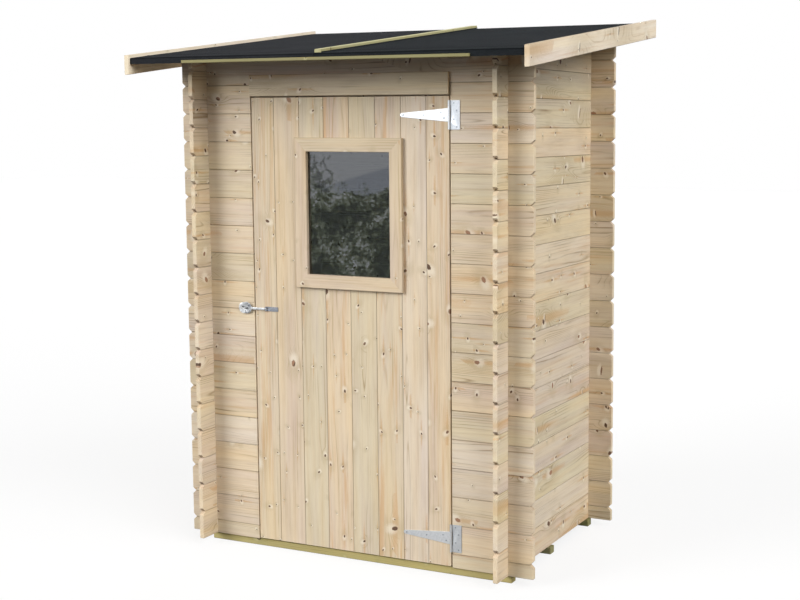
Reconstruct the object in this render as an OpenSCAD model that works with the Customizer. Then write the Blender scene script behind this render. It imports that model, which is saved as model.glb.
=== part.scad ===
// Small wooden garden shed of interlocking wall boards under a pent roof.
// Millimetres. +X right, +Y back, +Z up. The origin is the middle of the footprint, on the ground.

/* [Wall boards] */
// Height that one board covers in the wall
course = 112; // [96:1:124]
// Thickness of the wall boards
board_t = 19; // [16:1:28]
// Outer width of the shed over its side walls
wall_w = 1352; // [1250:1:2000]
// Outer depth of the shed over its front and back walls
wall_d = 856; // [700:1:1400]
// Height of the front wall
wall_h = 1960; // [1880:1:2250]
// How much higher the back wall is than the front wall
roof_rise = 112; // [60:1:180]
// How far the front and back boards run on past the side walls
end_x = 103; // [40:1:140]
// How far the side boards run on past the front and back walls
end_y = 95; // [40:1:140]
// Depth of the V cut into the board ends at each joint
end_v = 12; // [4:1:16]
// Play of each board in the notch of the board that crosses it
notch_play = 0.5; // [0.3:0.1:1.5]

/* [Bearers and floor] */
// Width of a bearer
bearer_w = 38; // [30:1:120]
// Height of a bearer
bearer_h = 30; // [20:1:70]
// How far the bearers show past the side walls
bearer_reach = 10; // [0:1:40]
// How far the front and back bearers sit in from the wall faces
bearer_setback = 10; // [0:1:12]
// How far the middle bearer lies in front of the shed's middle
bearer_shift = 19; // [0:1:60]
// Thickness of the floor boards
floor_t = 16; // [12:1:28]
// Gap between the floor and the walls
floor_gap = 3; // [1:1:10]

/* [Roof] */
// Reach of the roof in front of the front wall
roof_front = 243; // [160:1:300]
// Reach of the roof behind the back wall
roof_back = 255; // [120:1:300]
// Reach of the roof past each side wall
roof_side = 191; // [150:1:220]
// Thickness of the roof boards
deck_t = 20; // [15:1:28]
// Gap between the two halves of the roof
deck_gap = 2; // [1:1:6]
// Thickness of the roofing felt
felt_t = 3; // [2:0.5:5]
// Depth of felt folded down over the roof's edges
felt_flap = 17; // [10:1:25]
// Width of the board along each side of the roof
barge_w = 75; // [60:1:120]
// Thickness of the board along each side of the roof
barge_t = 20; // [15:1:28]
// Height of the side boards' top edges above the felt
barge_above = 12; // [4:1:25]
// Width of the batten over the seam in the felt
seam_w = 30; // [20:1:60]
// Thickness of the batten over the seam in the felt
seam_t = 13; // [8:1:25]
// Distance from the roof's front edge to the seam batten
seam_setback = 38; // [10:1:80]
// Length of the battens along the eaves
eaves_l = 1230; // [900:1:1400]
// Height of the battens along the eaves
eaves_h = 12; // [8:1:25]
// Thickness of the battens along the eaves
eaves_t = 10; // [6:1:16]
// How far the eaves battens hang below the roof boards
eaves_drop = 3; // [0:1:10]
// Sideways place of the eaves battens from the middle
eaves_x = 22; // [-60:1:60]
// Width of the purlin under the roof boards
purlin_w = 45; // [30:1:70]
// Height of the purlin under the roof boards
purlin_h = 60; // [40:1:100]
// How far the purlin is let into the side walls
purlin_in = 10; // [5:1:12]
// Play around the purlin in its pockets
purlin_play = 0.5; // [0.2:0.1:2]

/* [Doorway] */
// Width of the door leaf
leaf_w = 880; // [700:1:920]
// Thickness of the door's boards
leaf_t = 14; // [10:1:14]
// Gap around the door leaf
leaf_gap = 5; // [5:0.5:8]
// Sideways place of the door's middle from the shed's middle
leaf_x = -4; // [-60:1:20]
// Height of the wall left over the doorway
over_door = 112; // [90:1:160]
// Distance from the sawn edge of the wall over the doorway down to the leaf
leaf_drop = 49; // [30:1:60]
// Thickness of the board over the door
head_t = 12; // [8:1:20]
// Height of the board over the door
head_h = 84; // [60:1:95]
// How much longer than the leaf the board over the door is
head_extra = 4; // [0:1:20]
// Width of the upright posts inside the doorway
post_w = 45; // [35:1:60]
// Depth of the upright posts inside the doorway
post_d = 34; // [20:1:60]
// Overlap of posts and head behind the edges of the leaf
stop_lap = 15; // [8:1:25]
// Height of the batten inside over the door
head_batten_h = 90; // [75:1:110]
// Clearance of the ledges beside the posts
ledge_gap = 6; // [5:1:15]
// Height of the ledges on the back of the door
ledge_h = 90; // [60:1:110]
// Thickness of the ledges and the brace
ledge_t = 18; // [12:1:28]
// Distance from the leaf's top edge down to the top ledge
ledge_top = 40; // [25:1:50]
// Distance from the window hole down to the middle ledge
ledge_middle = 40; // [15:1:80]
// Distance from the leaf's bottom edge up to the bottom ledge
ledge_bottom = 60; // [30:1:90]

/* [Window] */
// Visible width of the window pane
sight_w = 370; // [250:1:420]
// Visible height of the window pane
sight_h = 480; // [300:1:520]
// Distance from the leaf's top edge to the outer trim
window_drop = 156; // [150:1:260]
// Sideways place of the window from the door's middle
window_x = 6; // [-20:1:20]
// Width of the trim around the window
trim_w = 54; // [40:1:70]
// Thickness of the trim around the window
trim_t = 15; // [10:1:22]
// How far the trim laps over the hole in the door
rebate = 10; // [6:1:15]
// Thickness of the pane
glass_t = 4; // [3:1:5]
// Gap around the pane and between the inner beads
pane_gap = 1; // [0.5:0.5:3]

/* [Hinges] */
// Width of the hinge plates on the wall
plate_w = 43; // [30:1:60]
// Height of the hinge plates on the wall
plate_h = 108; // [80:1:140]
// Thickness of the hinge plates and straps
plate_t = 2.5; // [2:0.5:4]
// Length of the hinge straps from the pin
strap_l = 208; // [150:1:350]
// Height of a strap at its pin
strap_h = 50; // [30:1:60]
// Height of a strap at its tip
strap_tip = 15; // [10:1:24]
// Outer radius of the hinge knuckles
knuckle_r = 5; // [4:0.5:7]
// Radius of the hinge pins
pin_r = 3; // [2:0.5:3]
// Radial running clearance on the pins
pin_play = 0.1; // [0.05:0.01:0.1]
// Gap between one knuckle and the next
knuckle_gap = 0.5; // [0.3:0.1:1]
// Distance between the knuckles and the face of the boards
knuckle_lift = 0.5; // [0.5:0.1:2]
// Distance from the leaf's top edge to the middle of the top hinge
hinge_down = 70; // [60:1:75]
// Distance from the leaf's bottom edge to the middle of the bottom hinge
hinge_up = 113; // [80:1:150]

/* [Hasp] */
// Height of the hasp above the leaf's bottom edge
hasp_up = 953; // [850:1:1000]
// Distance from the leaf's free edge to the hasp's pin
hasp_in = 54; // [40:1:80]
// Length of the hasp plate on the door
hasp_plate_l = 55; // [30:1:70]
// Height of the hasp plate on the door
hasp_plate_h = 18; // [18:1:40]
// Thickness of the hasp's sheet steel
hasp_t = 2; // [1.5:0.5:3]
// Height of the hasp's neck
neck_h = 9; // [6:0.5:10]
// Length of the hasp's oval head
head_l = 62; // [56:1:80]
// Height of the hasp's oval head
oval_h = 44; // [30:1:60]
// Distance from the hasp's pin to the middle of the staple
staple_out = 98; // [92:1:105]
// Length of the slot in the hasp
slot_l = 32; // [32:1:40]
// Height of the slot in the hasp
slot_h = 11; // [11:1:16]
// Radius of the staple's bar
staple_r = 2.5; // [2:0.5:2.5]
// Spacing of the staple's legs
staple_w = 20; // [14:1:20]
// How far the staple stands out from the wall plate
staple_h = 26; // [22:1:34]
// Diameter of the round plate behind the staple
rose_d = 46; // [36:1:56]
// Thickness of the round plate behind the staple
rose_t = 1.5; // [1:0.5:2]
// Outer radius of the hasp's knuckles
hasp_knuckle_r = 4; // [3.5:0.5:5]
// Radius of the hasp's pin
hasp_pin_r = 2; // [1.5:0.5:2.5]

/* [Hidden] */

pale_wood = "#d9c3a0";
green_wood = "#9a9a5e";
felt_grey = "#3a3b3f";
steel_grey = "#b9bfc4";
glass_blue = "#5c6a74";
smooth = 48;

// Places of the walls: each value is a face of the shed
wall_z = bearer_h;
half_w = wall_w / 2;
inner_x = half_w - board_t;
front_y = (roof_front - roof_back - wall_d) / 2;
back_y = front_y + wall_d;
inner_front_y = front_y + board_t;
inner_back_y = back_y - board_t;
back_h = wall_h + roof_rise;
front_count = ceil(wall_h / course);
back_count = ceil(back_h / course);
quarter = course / 4;

// The roof climbs steadily from the front wall to the back wall
rise = roof_rise / wall_d;
steep = sqrt(1 + rise * rise);
deck_v = deck_t * steep;
felt_v = deck_v + felt_t;
barge_v = barge_w * steep;
barge_high = felt_v + barge_above;
roof_y0 = front_y - roof_front;
roof_y1 = back_y + roof_back;
deck_y0 = roof_y0 + eaves_t + felt_t;
deck_y1 = roof_y1 - eaves_t - felt_t;
deck_x = half_w + roof_side - barge_t;
purlin_y = (front_y + back_y) / 2;
// A hair of air between the roof and what lies against its sloping faces
slope_gap = 0.02;
sky = wall_z + (back_count + 3) * course;

// The doorway and the leaf in it
leaf_x0 = leaf_x - leaf_w / 2;
leaf_x1 = leaf_x + leaf_w / 2;
leaf_z0 = wall_z + leaf_gap;
opening_x0 = leaf_x0 - leaf_gap;
opening_x1 = leaf_x1 + leaf_gap;
opening_z = wall_z + wall_h - over_door;
leaf_z1 = opening_z - leaf_drop;
leaf_back_y = front_y + leaf_t;
floor_z = wall_z + floor_t;
ledge_x0 = leaf_x0 + stop_lap + ledge_gap;
ledge_x1 = leaf_x1 - stop_lap - ledge_gap;
post_y1 = inner_front_y + post_d;

// The window in the leaf
trim_x0 = leaf_x + window_x - sight_w / 2 - trim_w;
trim_x1 = leaf_x + window_x + sight_w / 2 + trim_w;
trim_z1 = leaf_z1 - window_drop;
trim_z0 = trim_z1 - sight_h - 2 * trim_w;
hole_x0 = trim_x0 + trim_w - rebate;
hole_x1 = trim_x1 - trim_w + rebate;
hole_z0 = trim_z0 + trim_w - rebate;
hole_z1 = trim_z1 - trim_w + rebate;
bead_y0 = front_y + glass_t + pane_gap;

// Heights of the ledges' lower edges
ledge_top_z = leaf_z1 - ledge_top - ledge_h;
ledge_middle_z = hole_z0 - ledge_middle - ledge_h;
ledge_bottom_z = leaf_z0 + ledge_bottom;

// The hinge line stands in the gap beside the leaf, just proud of the boards
hinge_x = leaf_x1 + leaf_gap / 2;
hinge_y = front_y - knuckle_r - knuckle_lift;
hinge_top_z = leaf_z1 - hinge_down;
hinge_bottom_z = leaf_z0 + hinge_up;

// The hasp turns on a pin on the door, and its slot passes over the staple on the wall
hasp_x = leaf_x0 + hasp_in;
hasp_y = front_y - hasp_knuckle_r - knuckle_lift;
hasp_z = leaf_z0 + hasp_up;
hasp_sheet_y = hasp_y - hasp_knuckle_r;
staple_x = hasp_x - staple_out;

// Height of the roof boards' lower faces at a depth y
function roof_z(y) = wall_z + wall_h + (y - front_y) * rise;

// Heights of the joints between boards: half a course lower in the front and back walls
function joints(offset, count) = [for (i = [0 : count - 1]) wall_z + (i + offset) * course];

// An upright wall end at place u, from bottom to top, with a V cut inwards at each joint
function v_end(u, inward, heights) = concat(
    [[u, wall_z]],
    [for (z = heights, p = [[u, z - end_v], [u + inward * end_v, z], [u, z + end_v]]) p],
    [[u, sky]]
);
function reversed(list) = [for (i = [len(list) - 1 : -1 : 0]) list[i]];

// A sheet across the shed from x0 to x1, its outline given in depth and height
module across(x0, x1, points) {
    translate([x0, 0, 0])
        rotate([90, 0, 90])
            linear_extrude(x1 - x0)
                polygon(points);
}

// A sheet through the shed from y0 to y1, its outline given in width and height
module through(y0, y1, points) {
    translate([0, y1, 0])
        rotate([90, 0, 0])
            linear_extrude(y1 - y0)
                polygon(points);
}

module block(low, high) {
    translate(low)
        cube(high - low);
}

// A board that follows the roof, between two heights above the roof boards' lower faces
module sloped(x0, x1, y0, y1, low, high) {
    across(x0, x1, [
        [y0, roof_z(y0) + low], [y1, roof_z(y1) + low],
        [y1, roof_z(y1) + high], [y0, roof_z(y0) + high]
    ]);
}

// All that lies above the roof boards' lower faces, taken off the tops of the walls
module above_roof() {
    across(-deck_x, deck_x, [
        [roof_y0, roof_z(roof_y0) - slope_gap], [roof_y1, roof_z(roof_y1) - slope_gap],
        [roof_y1, sky + course], [roof_y0, sky + course]
    ]);
}

// Bands in the corner at x0, y0 where the crossing boards take the space: each half a course high
module corner_bands(x0, y0, offset) {
    for (i = [0 : back_count])
        block(
            [x0, y0, wall_z + (i + offset) * course - quarter],
            [x0 + board_t, y0 + board_t, wall_z + (i + offset) * course + quarter]
        );
}

// The corner cuts of the front and back walls, widened by the play along the wall
module cuts_for_side_walls(y0) {
    for (x = [-half_w, inner_x], play = [-notch_play, notch_play])
        translate([play, 0, 0])
            corner_bands(x, y0, 0.5);
}

// The corner cuts of the side walls, widened by the play along the wall
module cuts_for_cross_walls(x0) {
    for (y = [front_y, inner_back_y], play = [-notch_play, notch_play])
        translate([0, play, 0])
            corner_bands(x0, y, 0);
}

// A bearer whose front edge lies at y
module bearer(y) {
    color(green_wood)
        block([-half_w - bearer_reach, y, 0], [half_w + bearer_reach, y + bearer_w, bearer_h]);
}

module bearer_front() {
    bearer(front_y + bearer_setback);
}

module bearer_middle() {
    bearer(purlin_y - bearer_shift - bearer_w / 2);
}

module bearer_back() {
    bearer(back_y - bearer_setback - bearer_w);
}

module floor_boards() {
    color(pale_wood)
        block(
            [-inner_x + floor_gap, inner_front_y + floor_gap, wall_z],
            [inner_x - floor_gap, inner_back_y - floor_gap, floor_z]
        );
}

// A front or back wall with both ends cut in V shapes
module cross_wall(y0, count) {
    heights = joints(0.5, count);
    difference() {
        through(y0, y0 + board_t, concat(
            v_end(-half_w - end_x, 1, heights),
            reversed(v_end(half_w + end_x, -1, heights))
        ));
        cuts_for_side_walls(y0);
        above_roof();
    }
}

// The front wall on one side of the doorway, from x0 to x1
module front_part(x0, x1) {
    intersection() {
        cross_wall(front_y, front_count);
        block([x0, front_y - board_t, wall_z], [x1, back_y, sky]);
    }
}

module front_wall_left() {
    color(pale_wood)
        front_part(-half_w - end_x, opening_x0);
}

module front_wall_right() {
    color(pale_wood)
        front_part(opening_x1, half_w + end_x);
}

module front_wall_over_door() {
    color(pale_wood)
        difference() {
            block([opening_x0, front_y, opening_z], [opening_x1, inner_front_y, sky]);
            above_roof();
        }
}

module back_wall() {
    color(pale_wood)
        cross_wall(inner_back_y, back_count);
}

// A side wall whose left face lies at x0
module side_wall(x0) {
    heights = joints(1, back_count);
    color(pale_wood)
        difference() {
            across(x0, x0 + board_t, concat(
                v_end(front_y - end_y, 1, heights),
                reversed(v_end(back_y + end_y, -1, heights))
            ));
            cuts_for_cross_walls(x0);
            above_roof();
            purlin_space(purlin_play, -purlin_h - slope_gap, deck_v);
        }
}

module side_wall_left() {
    side_wall(-half_w);
}

module side_wall_right() {
    side_wall(inner_x);
}

// An upright post behind the edge of the doorway
module door_post(x0) {
    color(pale_wood)
        difference() {
            block([x0, inner_front_y, floor_z], [x0 + post_w, post_y1, sky]);
            above_roof();
        }
}

module door_post_left() {
    door_post(leaf_x0 + stop_lap - post_w);
}

module door_post_right() {
    door_post(leaf_x1 - stop_lap);
}

module door_head_batten() {
    color(pale_wood)
        block(
            [leaf_x0 + stop_lap, inner_front_y, leaf_z1 - stop_lap],
            [leaf_x1 - stop_lap, post_y1, leaf_z1 - stop_lap + head_batten_h]
        );
}

module door_head_board() {
    color(pale_wood)
        block(
            [leaf_x0 - head_extra / 2, front_y - head_t, leaf_z1 + leaf_gap],
            [leaf_x1 + head_extra / 2, front_y, leaf_z1 + leaf_gap + head_h]
        );
}

// A length along the purlin's line with some play at its sides and ends
module purlin_space(play, low, high) {
    sloped(
        -inner_x - purlin_in - play, inner_x + purlin_in + play,
        purlin_y - purlin_w / 2 - play, purlin_y + purlin_w / 2 + play,
        low, high
    );
}

module purlin() {
    color(pale_wood)
        purlin_space(0, -purlin_h, -slope_gap);
}

module roof_boards(x0, x1) {
    color(pale_wood)
        sloped(x0, x1, deck_y0, deck_y1, 0, deck_v);
}

module roof_boards_left() {
    roof_boards(-deck_x, -deck_gap / 2);
}

module roof_boards_right() {
    roof_boards(deck_gap / 2, deck_x);
}

// Felt on the roof boards, folded down over their front and back edges
module roof_felt(x0, x1) {
    y0 = deck_y0 - felt_t;
    y1 = deck_y1 + felt_t;
    low_0 = roof_z(y0) + felt_v - felt_flap;
    low_1 = roof_z(y1) + felt_v - felt_flap;
    color(felt_grey)
        across(x0, x1, [
            [y0, low_0], [deck_y0, low_0], [deck_y0, roof_z(deck_y0) + deck_v],
            [deck_y1, roof_z(deck_y1) + deck_v], [deck_y1, low_1], [y1, low_1],
            [y1, roof_z(y1) + felt_v], [y0, roof_z(y0) + felt_v]
        ]);
}

module roof_felt_left() {
    roof_felt(-deck_x, -deck_gap / 2);
}

module roof_felt_right() {
    roof_felt(deck_gap / 2, deck_x);
}

module roof_seam_batten() {
    color(green_wood)
        sloped(
            -seam_w / 2, seam_w / 2, roof_y0 + seam_setback, roof_y1,
            felt_v + slope_gap, felt_v + seam_t
        );
}

// A batten over the edge of the felt, its lower face just below the roof boards at depth y_edge
module eaves_batten(y0, y_edge) {
    z0 = roof_z(y_edge) - eaves_drop;
    color(green_wood)
        block([eaves_x - eaves_l / 2, y0, z0], [eaves_x + eaves_l / 2, y0 + eaves_t, z0 + eaves_h]);
}

module eaves_batten_front() {
    eaves_batten(roof_y0, deck_y0);
}

module eaves_batten_back() {
    eaves_batten(roof_y1 - eaves_t, deck_y1);
}

module barge_board(x0) {
    color(pale_wood)
        sloped(x0, x0 + barge_t, roof_y0, roof_y1, barge_high - barge_v, barge_high);
}

module barge_board_left() {
    barge_board(-deck_x - barge_t);
}

module barge_board_right() {
    barge_board(deck_x);
}

// An upright knuckle from z0 to z1 on a pin at x, y
module knuckle(x, y, r, z0, z1) {
    translate([x, y, z0])
        cylinder(r = r, h = z1 - z0, $fn = smooth);
}

// A hinge plate on the wall, with the pin and the two outer knuckles, its middle at height z
module hinge_plate(z) {
    low = z - plate_h / 2;
    high = z + plate_h / 2;
    color(steel_grey) {
        difference() {
            union() {
                block([hinge_x, front_y - plate_t, low], [hinge_x + plate_w, front_y, high]);
                block([hinge_x, hinge_y, low], [hinge_x + knuckle_r, front_y, high]);
                knuckle(hinge_x, hinge_y, knuckle_r, low, high);
            }
            block(
                [hinge_x - 2 * knuckle_r, hinge_y - 2 * knuckle_r, z - strap_h / 2 - knuckle_gap],
                [hinge_x + knuckle_r + knuckle_gap, front_y + plate_t, z + strap_h / 2 + knuckle_gap]
            );
        }
        knuckle(hinge_x, hinge_y, pin_r, low, high);
    }
}

module hinge_plate_top() {
    hinge_plate(hinge_top_z);
}

module hinge_plate_bottom() {
    hinge_plate(hinge_bottom_z);
}

// A tapered hinge strap with a round tip and the knuckle between the plate's two
module hinge_strap(z) {
    tip_x = hinge_x - strap_l + strap_tip / 2;
    color(steel_grey)
        difference() {
            union() {
                through(front_y - plate_t, front_y, [
                    [hinge_x, z - strap_h / 2], [hinge_x, z + strap_h / 2],
                    [hinge_x - knuckle_r, z + strap_h / 2], [tip_x, z + strap_tip / 2],
                    [tip_x, z - strap_tip / 2], [hinge_x - knuckle_r, z - strap_h / 2]
                ]);
                translate([tip_x, front_y, z])
                    rotate([90, 0, 0])
                        cylinder(d = strap_tip, h = plate_t, $fn = smooth);
                block(
                    [hinge_x - knuckle_r, hinge_y, z - strap_h / 2],
                    [hinge_x, front_y, z + strap_h / 2]
                );
                knuckle(hinge_x, hinge_y, knuckle_r, z - strap_h / 2, z + strap_h / 2);
            }
            knuckle(hinge_x, hinge_y, pin_r + pin_play, z - strap_h, z + strap_h);
        }
}

module hinge_strap_top() {
    hinge_strap(hinge_top_z);
}

module hinge_strap_bottom() {
    hinge_strap(hinge_bottom_z);
}

// Part of the leaf's boards, in width from x0 to x1 and in height from z0 to z1
module leaf_part(x0, x1, z0, z1) {
    color(pale_wood)
        block([x0, front_y, z0], [x1, leaf_back_y, z1]);
}

module door_boards_left() {
    leaf_part(leaf_x0, hole_x0, leaf_z0, leaf_z1);
}

module door_boards_right() {
    leaf_part(hole_x1, leaf_x1, leaf_z0, leaf_z1);
}

module door_boards_over_window() {
    leaf_part(hole_x0, hole_x1, hole_z1, leaf_z1);
}

module door_boards_under_window() {
    leaf_part(hole_x0, hole_x1, leaf_z0, hole_z0);
}

module door_ledge(z) {
    color(pale_wood)
        block([ledge_x0, leaf_back_y, z], [ledge_x1, leaf_back_y + ledge_t, z + ledge_h]);
}

module door_ledge_top() {
    door_ledge(ledge_top_z);
}

module door_ledge_middle() {
    door_ledge(ledge_middle_z);
}

module door_ledge_bottom() {
    door_ledge(ledge_bottom_z);
}

// The brace climbs from the hinge side of the bottom ledge to the free side of the middle one
module door_brace() {
    color(pale_wood)
        through(leaf_back_y, leaf_back_y + ledge_t, [
            [ledge_x1, ledge_bottom_z + ledge_h], [ledge_x0 + ledge_h, ledge_middle_z],
            [ledge_x0, ledge_middle_z], [ledge_x1 - ledge_h, ledge_bottom_z + ledge_h]
        ]);
}

// A piece of the trim on the front of the door, mitred at both ends
module trim(points) {
    color(pale_wood)
        through(front_y - trim_t, front_y, points);
}

// A level piece of the trim: its outer edge at height z_out and its inner edge at z_in
module level_trim(z_out, z_in) {
    trim([[trim_x0, z_out], [trim_x1, z_out], [trim_x1 - trim_w, z_in], [trim_x0 + trim_w, z_in]]);
}

// An upright piece of the trim: its outer edge at x_out and its inner edge at x_in
module upright_trim(x_out, x_in) {
    trim([[x_out, trim_z0], [x_out, trim_z1], [x_in, trim_z1 - trim_w], [x_in, trim_z0 + trim_w]]);
}

module window_trim_top() {
    level_trim(trim_z1, trim_z1 - trim_w);
}

module window_trim_bottom() {
    level_trim(trim_z0, trim_z0 + trim_w);
}

module window_trim_left() {
    upright_trim(trim_x0, trim_x0 + trim_w);
}

module window_trim_right() {
    upright_trim(trim_x1, trim_x1 - trim_w);
}

// A strip that holds the pane from inside
module bead(x0, x1, z0, z1) {
    block([x0, bead_y0, z0], [x1, leaf_back_y, z1]);
}

module window_beads() {
    color(pale_wood) {
        for (z = [hole_z0, hole_z1 - rebate])
            bead(hole_x0, hole_x1, z, z + rebate);
        for (x = [hole_x0, hole_x1 - rebate])
            bead(x, x + rebate, hole_z0 + rebate + pane_gap, hole_z1 - rebate - pane_gap);
    }
}

module window_glass() {
    color(glass_blue)
        block(
            [hole_x0 + pane_gap, front_y, hole_z0 + pane_gap],
            [hole_x1 - pane_gap, bead_y0, hole_z1 - pane_gap]
        );
}

// The plate on the door with the two outer knuckles and the pin of the hasp
module hasp_plate() {
    low = hasp_z - hasp_plate_h / 2;
    high = hasp_z + hasp_plate_h / 2;
    color(steel_grey) {
        difference() {
            union() {
                block([hasp_x, front_y - hasp_t, low], [hasp_x + hasp_plate_l, front_y, high]);
                block([hasp_x, hasp_y, low], [hasp_x + hasp_knuckle_r, front_y, high]);
                knuckle(hasp_x, hasp_y, hasp_knuckle_r, low, high);
            }
            block(
                [hasp_x - 2 * hasp_knuckle_r, hasp_sheet_y - hasp_knuckle_r, hasp_z - neck_h / 2 - knuckle_gap],
                [hasp_x + hasp_knuckle_r + knuckle_gap, front_y + hasp_t, hasp_z + neck_h / 2 + knuckle_gap]
            );
        }
        knuckle(hasp_x, hasp_y, hasp_pin_r, low, high);
    }
}

// The hasp: a knuckle, a narrow neck and an oval head with a slot for the staple
module hasp() {
    color(steel_grey)
        difference() {
            union() {
                knuckle(hasp_x, hasp_y, hasp_knuckle_r, hasp_z - neck_h / 2, hasp_z + neck_h / 2);
                block(
                    [staple_x, hasp_sheet_y, hasp_z - neck_h / 2],
                    [hasp_x, hasp_sheet_y + hasp_t, hasp_z + neck_h / 2]
                );
                translate([staple_x, hasp_sheet_y + hasp_t, hasp_z])
                    rotate([90, 0, 0])
                        linear_extrude(hasp_t)
                            oval();
            }
            knuckle(hasp_x, hasp_y, hasp_pin_r + pin_play, hasp_z - neck_h, hasp_z + neck_h);
            block(
                [staple_x - slot_l / 2, hasp_sheet_y - hasp_t, hasp_z - slot_h / 2],
                [staple_x + slot_l / 2, hasp_sheet_y + 2 * hasp_t, hasp_z + slot_h / 2]
            );
        }
}

// An outline with straight top and bottom edges between two round ends
module oval() {
    straight = head_l - oval_h;
    square([straight, oval_h], center = true);
    for (side = [-1, 1])
        translate([side * straight / 2, 0])
            circle(d = oval_h, $fn = smooth);
}

// A round plate on the wall with a staple whose legs stand side by side
module hasp_staple() {
    bend = staple_w / 2;
    bend_y = front_y - staple_h + bend + staple_r;
    color(steel_grey) {
        translate([staple_x, front_y, hasp_z])
            rotate([90, 0, 0])
                cylinder(d = rose_d, h = rose_t, $fn = smooth);
        for (side = [-1, 1])
            translate([staple_x + side * bend, front_y, hasp_z])
                rotate([90, 0, 0])
                    cylinder(r = staple_r, h = front_y - bend_y, $fn = smooth);
        translate([staple_x, bend_y, hasp_z])
            rotate([0, 0, 180])
                rotate_extrude(angle = 180, $fn = smooth)
                    translate([bend, 0])
                        circle(r = staple_r, $fn = smooth);
    }
}

bearer_front();
bearer_middle();
bearer_back();
floor_boards();
front_wall_left();
front_wall_right();
front_wall_over_door();
back_wall();
side_wall_left();
side_wall_right();
door_post_left();
door_post_right();
door_head_batten();
door_head_board();
purlin();
roof_boards_left();
roof_boards_right();
roof_felt_left();
roof_felt_right();
roof_seam_batten();
eaves_batten_front();
eaves_batten_back();
barge_board_left();
barge_board_right();
hinge_plate_top();
hinge_plate_bottom();
hasp_staple();
door_boards_left();
door_boards_right();
door_boards_over_window();
door_boards_under_window();
door_ledge_top();
door_ledge_middle();
door_ledge_bottom();
door_brace();
window_trim_top();
window_trim_bottom();
window_trim_left();
window_trim_right();
window_beads();
window_glass();
hinge_strap_top();
hinge_strap_bottom();
hasp_plate();
hasp();
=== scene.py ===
# %% [markdown]
# # Dressing a small garden shed
# The real shed is a kit of planed spruce boards: tongued wall boards that cross at the corners, a
# boarded door, a sloping roof under bitumen felt, and a few galvanised fittings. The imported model
# already holds every piece at its real size. This script gives each piece its true edges, joints and
# finish, and never moves or resizes what the frame says.

# %% Load the frame
import math

import bmesh
import bpy
import numpy as np
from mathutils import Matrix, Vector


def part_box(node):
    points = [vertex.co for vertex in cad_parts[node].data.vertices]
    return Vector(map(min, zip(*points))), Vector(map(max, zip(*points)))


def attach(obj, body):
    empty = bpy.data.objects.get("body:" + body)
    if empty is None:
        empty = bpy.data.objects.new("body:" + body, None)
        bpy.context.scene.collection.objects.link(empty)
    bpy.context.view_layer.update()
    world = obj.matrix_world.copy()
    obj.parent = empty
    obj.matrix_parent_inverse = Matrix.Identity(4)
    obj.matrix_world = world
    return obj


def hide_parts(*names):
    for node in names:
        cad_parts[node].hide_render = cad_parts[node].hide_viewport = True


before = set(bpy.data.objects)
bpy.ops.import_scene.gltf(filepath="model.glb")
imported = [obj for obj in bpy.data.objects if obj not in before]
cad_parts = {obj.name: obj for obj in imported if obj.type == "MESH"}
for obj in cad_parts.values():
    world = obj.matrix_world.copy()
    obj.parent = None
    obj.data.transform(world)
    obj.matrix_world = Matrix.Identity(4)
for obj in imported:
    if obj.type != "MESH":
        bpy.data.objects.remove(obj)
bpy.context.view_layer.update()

# %% [markdown]
# ## Sizes
# A copied number goes stale when the model changes, so places are read from the boxes of the packed
# pieces. Only what the plain solids can't tell is written here, such as how high one wall board is
# and how deep its tongue goes. Everything is in metres, and MM turns millimetres into them.

# %% Read the sizes
MM = 0.001
X, Y, UP = np.eye(3)


def span(node):
    """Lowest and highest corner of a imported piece, as two arrays."""
    return tuple(np.array(corner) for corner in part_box(node))


course = 112 * MM  # the height that one wall board covers
board_gap = 0.7 * MM
end_cut = 14 * MM  # depth of the V cuts at a wall board's ends
hair = 1 * MM  # two heights closer than this count as the same
tongue = (6 * MM, 6 * MM)  # thickness and height
groove = (7 * MM, 7.5 * MM)  # width and depth
no_tongue = (6 * MM, 0)
no_groove = (7 * MM, 0)

back_low, back_high = span("back_wall")
left_low, left_high = span("front_wall_left")
right_low, right_high = span("front_wall_right")
over_low, over_high = span("front_wall_over_door")
side_low, side_high = span("side_wall_right")
wall_z = back_low[2]
front_y, back_y = left_low[1], back_high[1]
board_t = left_high[1] - front_y
half_w = side_high[0]
roof_rise = (back_high[2] - over_high[2]) / (back_y - over_high[1])
print("wall boards", board_t, "thick, the roof climbs", roof_rise, "per metre")


def roof_z(y):
    """Height of the roof boards' lower faces: a straight line that climbs from front to back."""
    return back_high[2] + (y - back_y) * roof_rise


# %% [markdown]
# ## One maker for all boards
# A board could be a cube with a bevel modifier, but then its tongue, its groove and its cut ends
# would each need a boolean. Instead one cross-section is carried along the board. At each stop on
# the way the section is clipped to a lower and an upper limit, and that alone makes V-cut ends, the
# notches where walls cross, and the gap that a window leaves in a door board.

# %% Cross-section of a board
def section(width, thick, edge, tongue=no_tongue, groove=no_groove):
    """Ring of (across, depth) points: along the grooved lower edge from the outer to the inner face,
    over the inner face, back along the tongued upper edge, and down the outer face. Every long edge
    is taken off at 45 degrees by edge."""
    (tongue_w, tongue_h), (groove_w, groove_h), middle = tongue, groove, thick / 2
    return np.array([
        (edge, 0), (0, edge),
        (0, middle - groove_w / 2), (groove_h, middle - groove_w / 2),
        (groove_h, middle + groove_w / 2), (0, middle + groove_w / 2),
        (0, thick - edge), (edge, thick), (width - edge, thick), (width, thick - edge),
        (width, middle + tongue_w / 2), (width + tongue_h, middle + tongue_w / 2),
        (width + tongue_h, middle - tongue_w / 2), (width, middle - tongue_w / 2),
        (width, edge), (width - edge, 0),
    ])


# %% [markdown]
# A saw leaves the end of a wall board with two slanting cuts, and a cutter leaves a small bevel
# round it. Both are limits on the section that change with the distance from the end. So the ends
# need only a few stops, and a notch is two stops at the same place with different limits.

# %% Stops along a board
FREE = 1.0  # a limit too far away to clip anything


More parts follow.
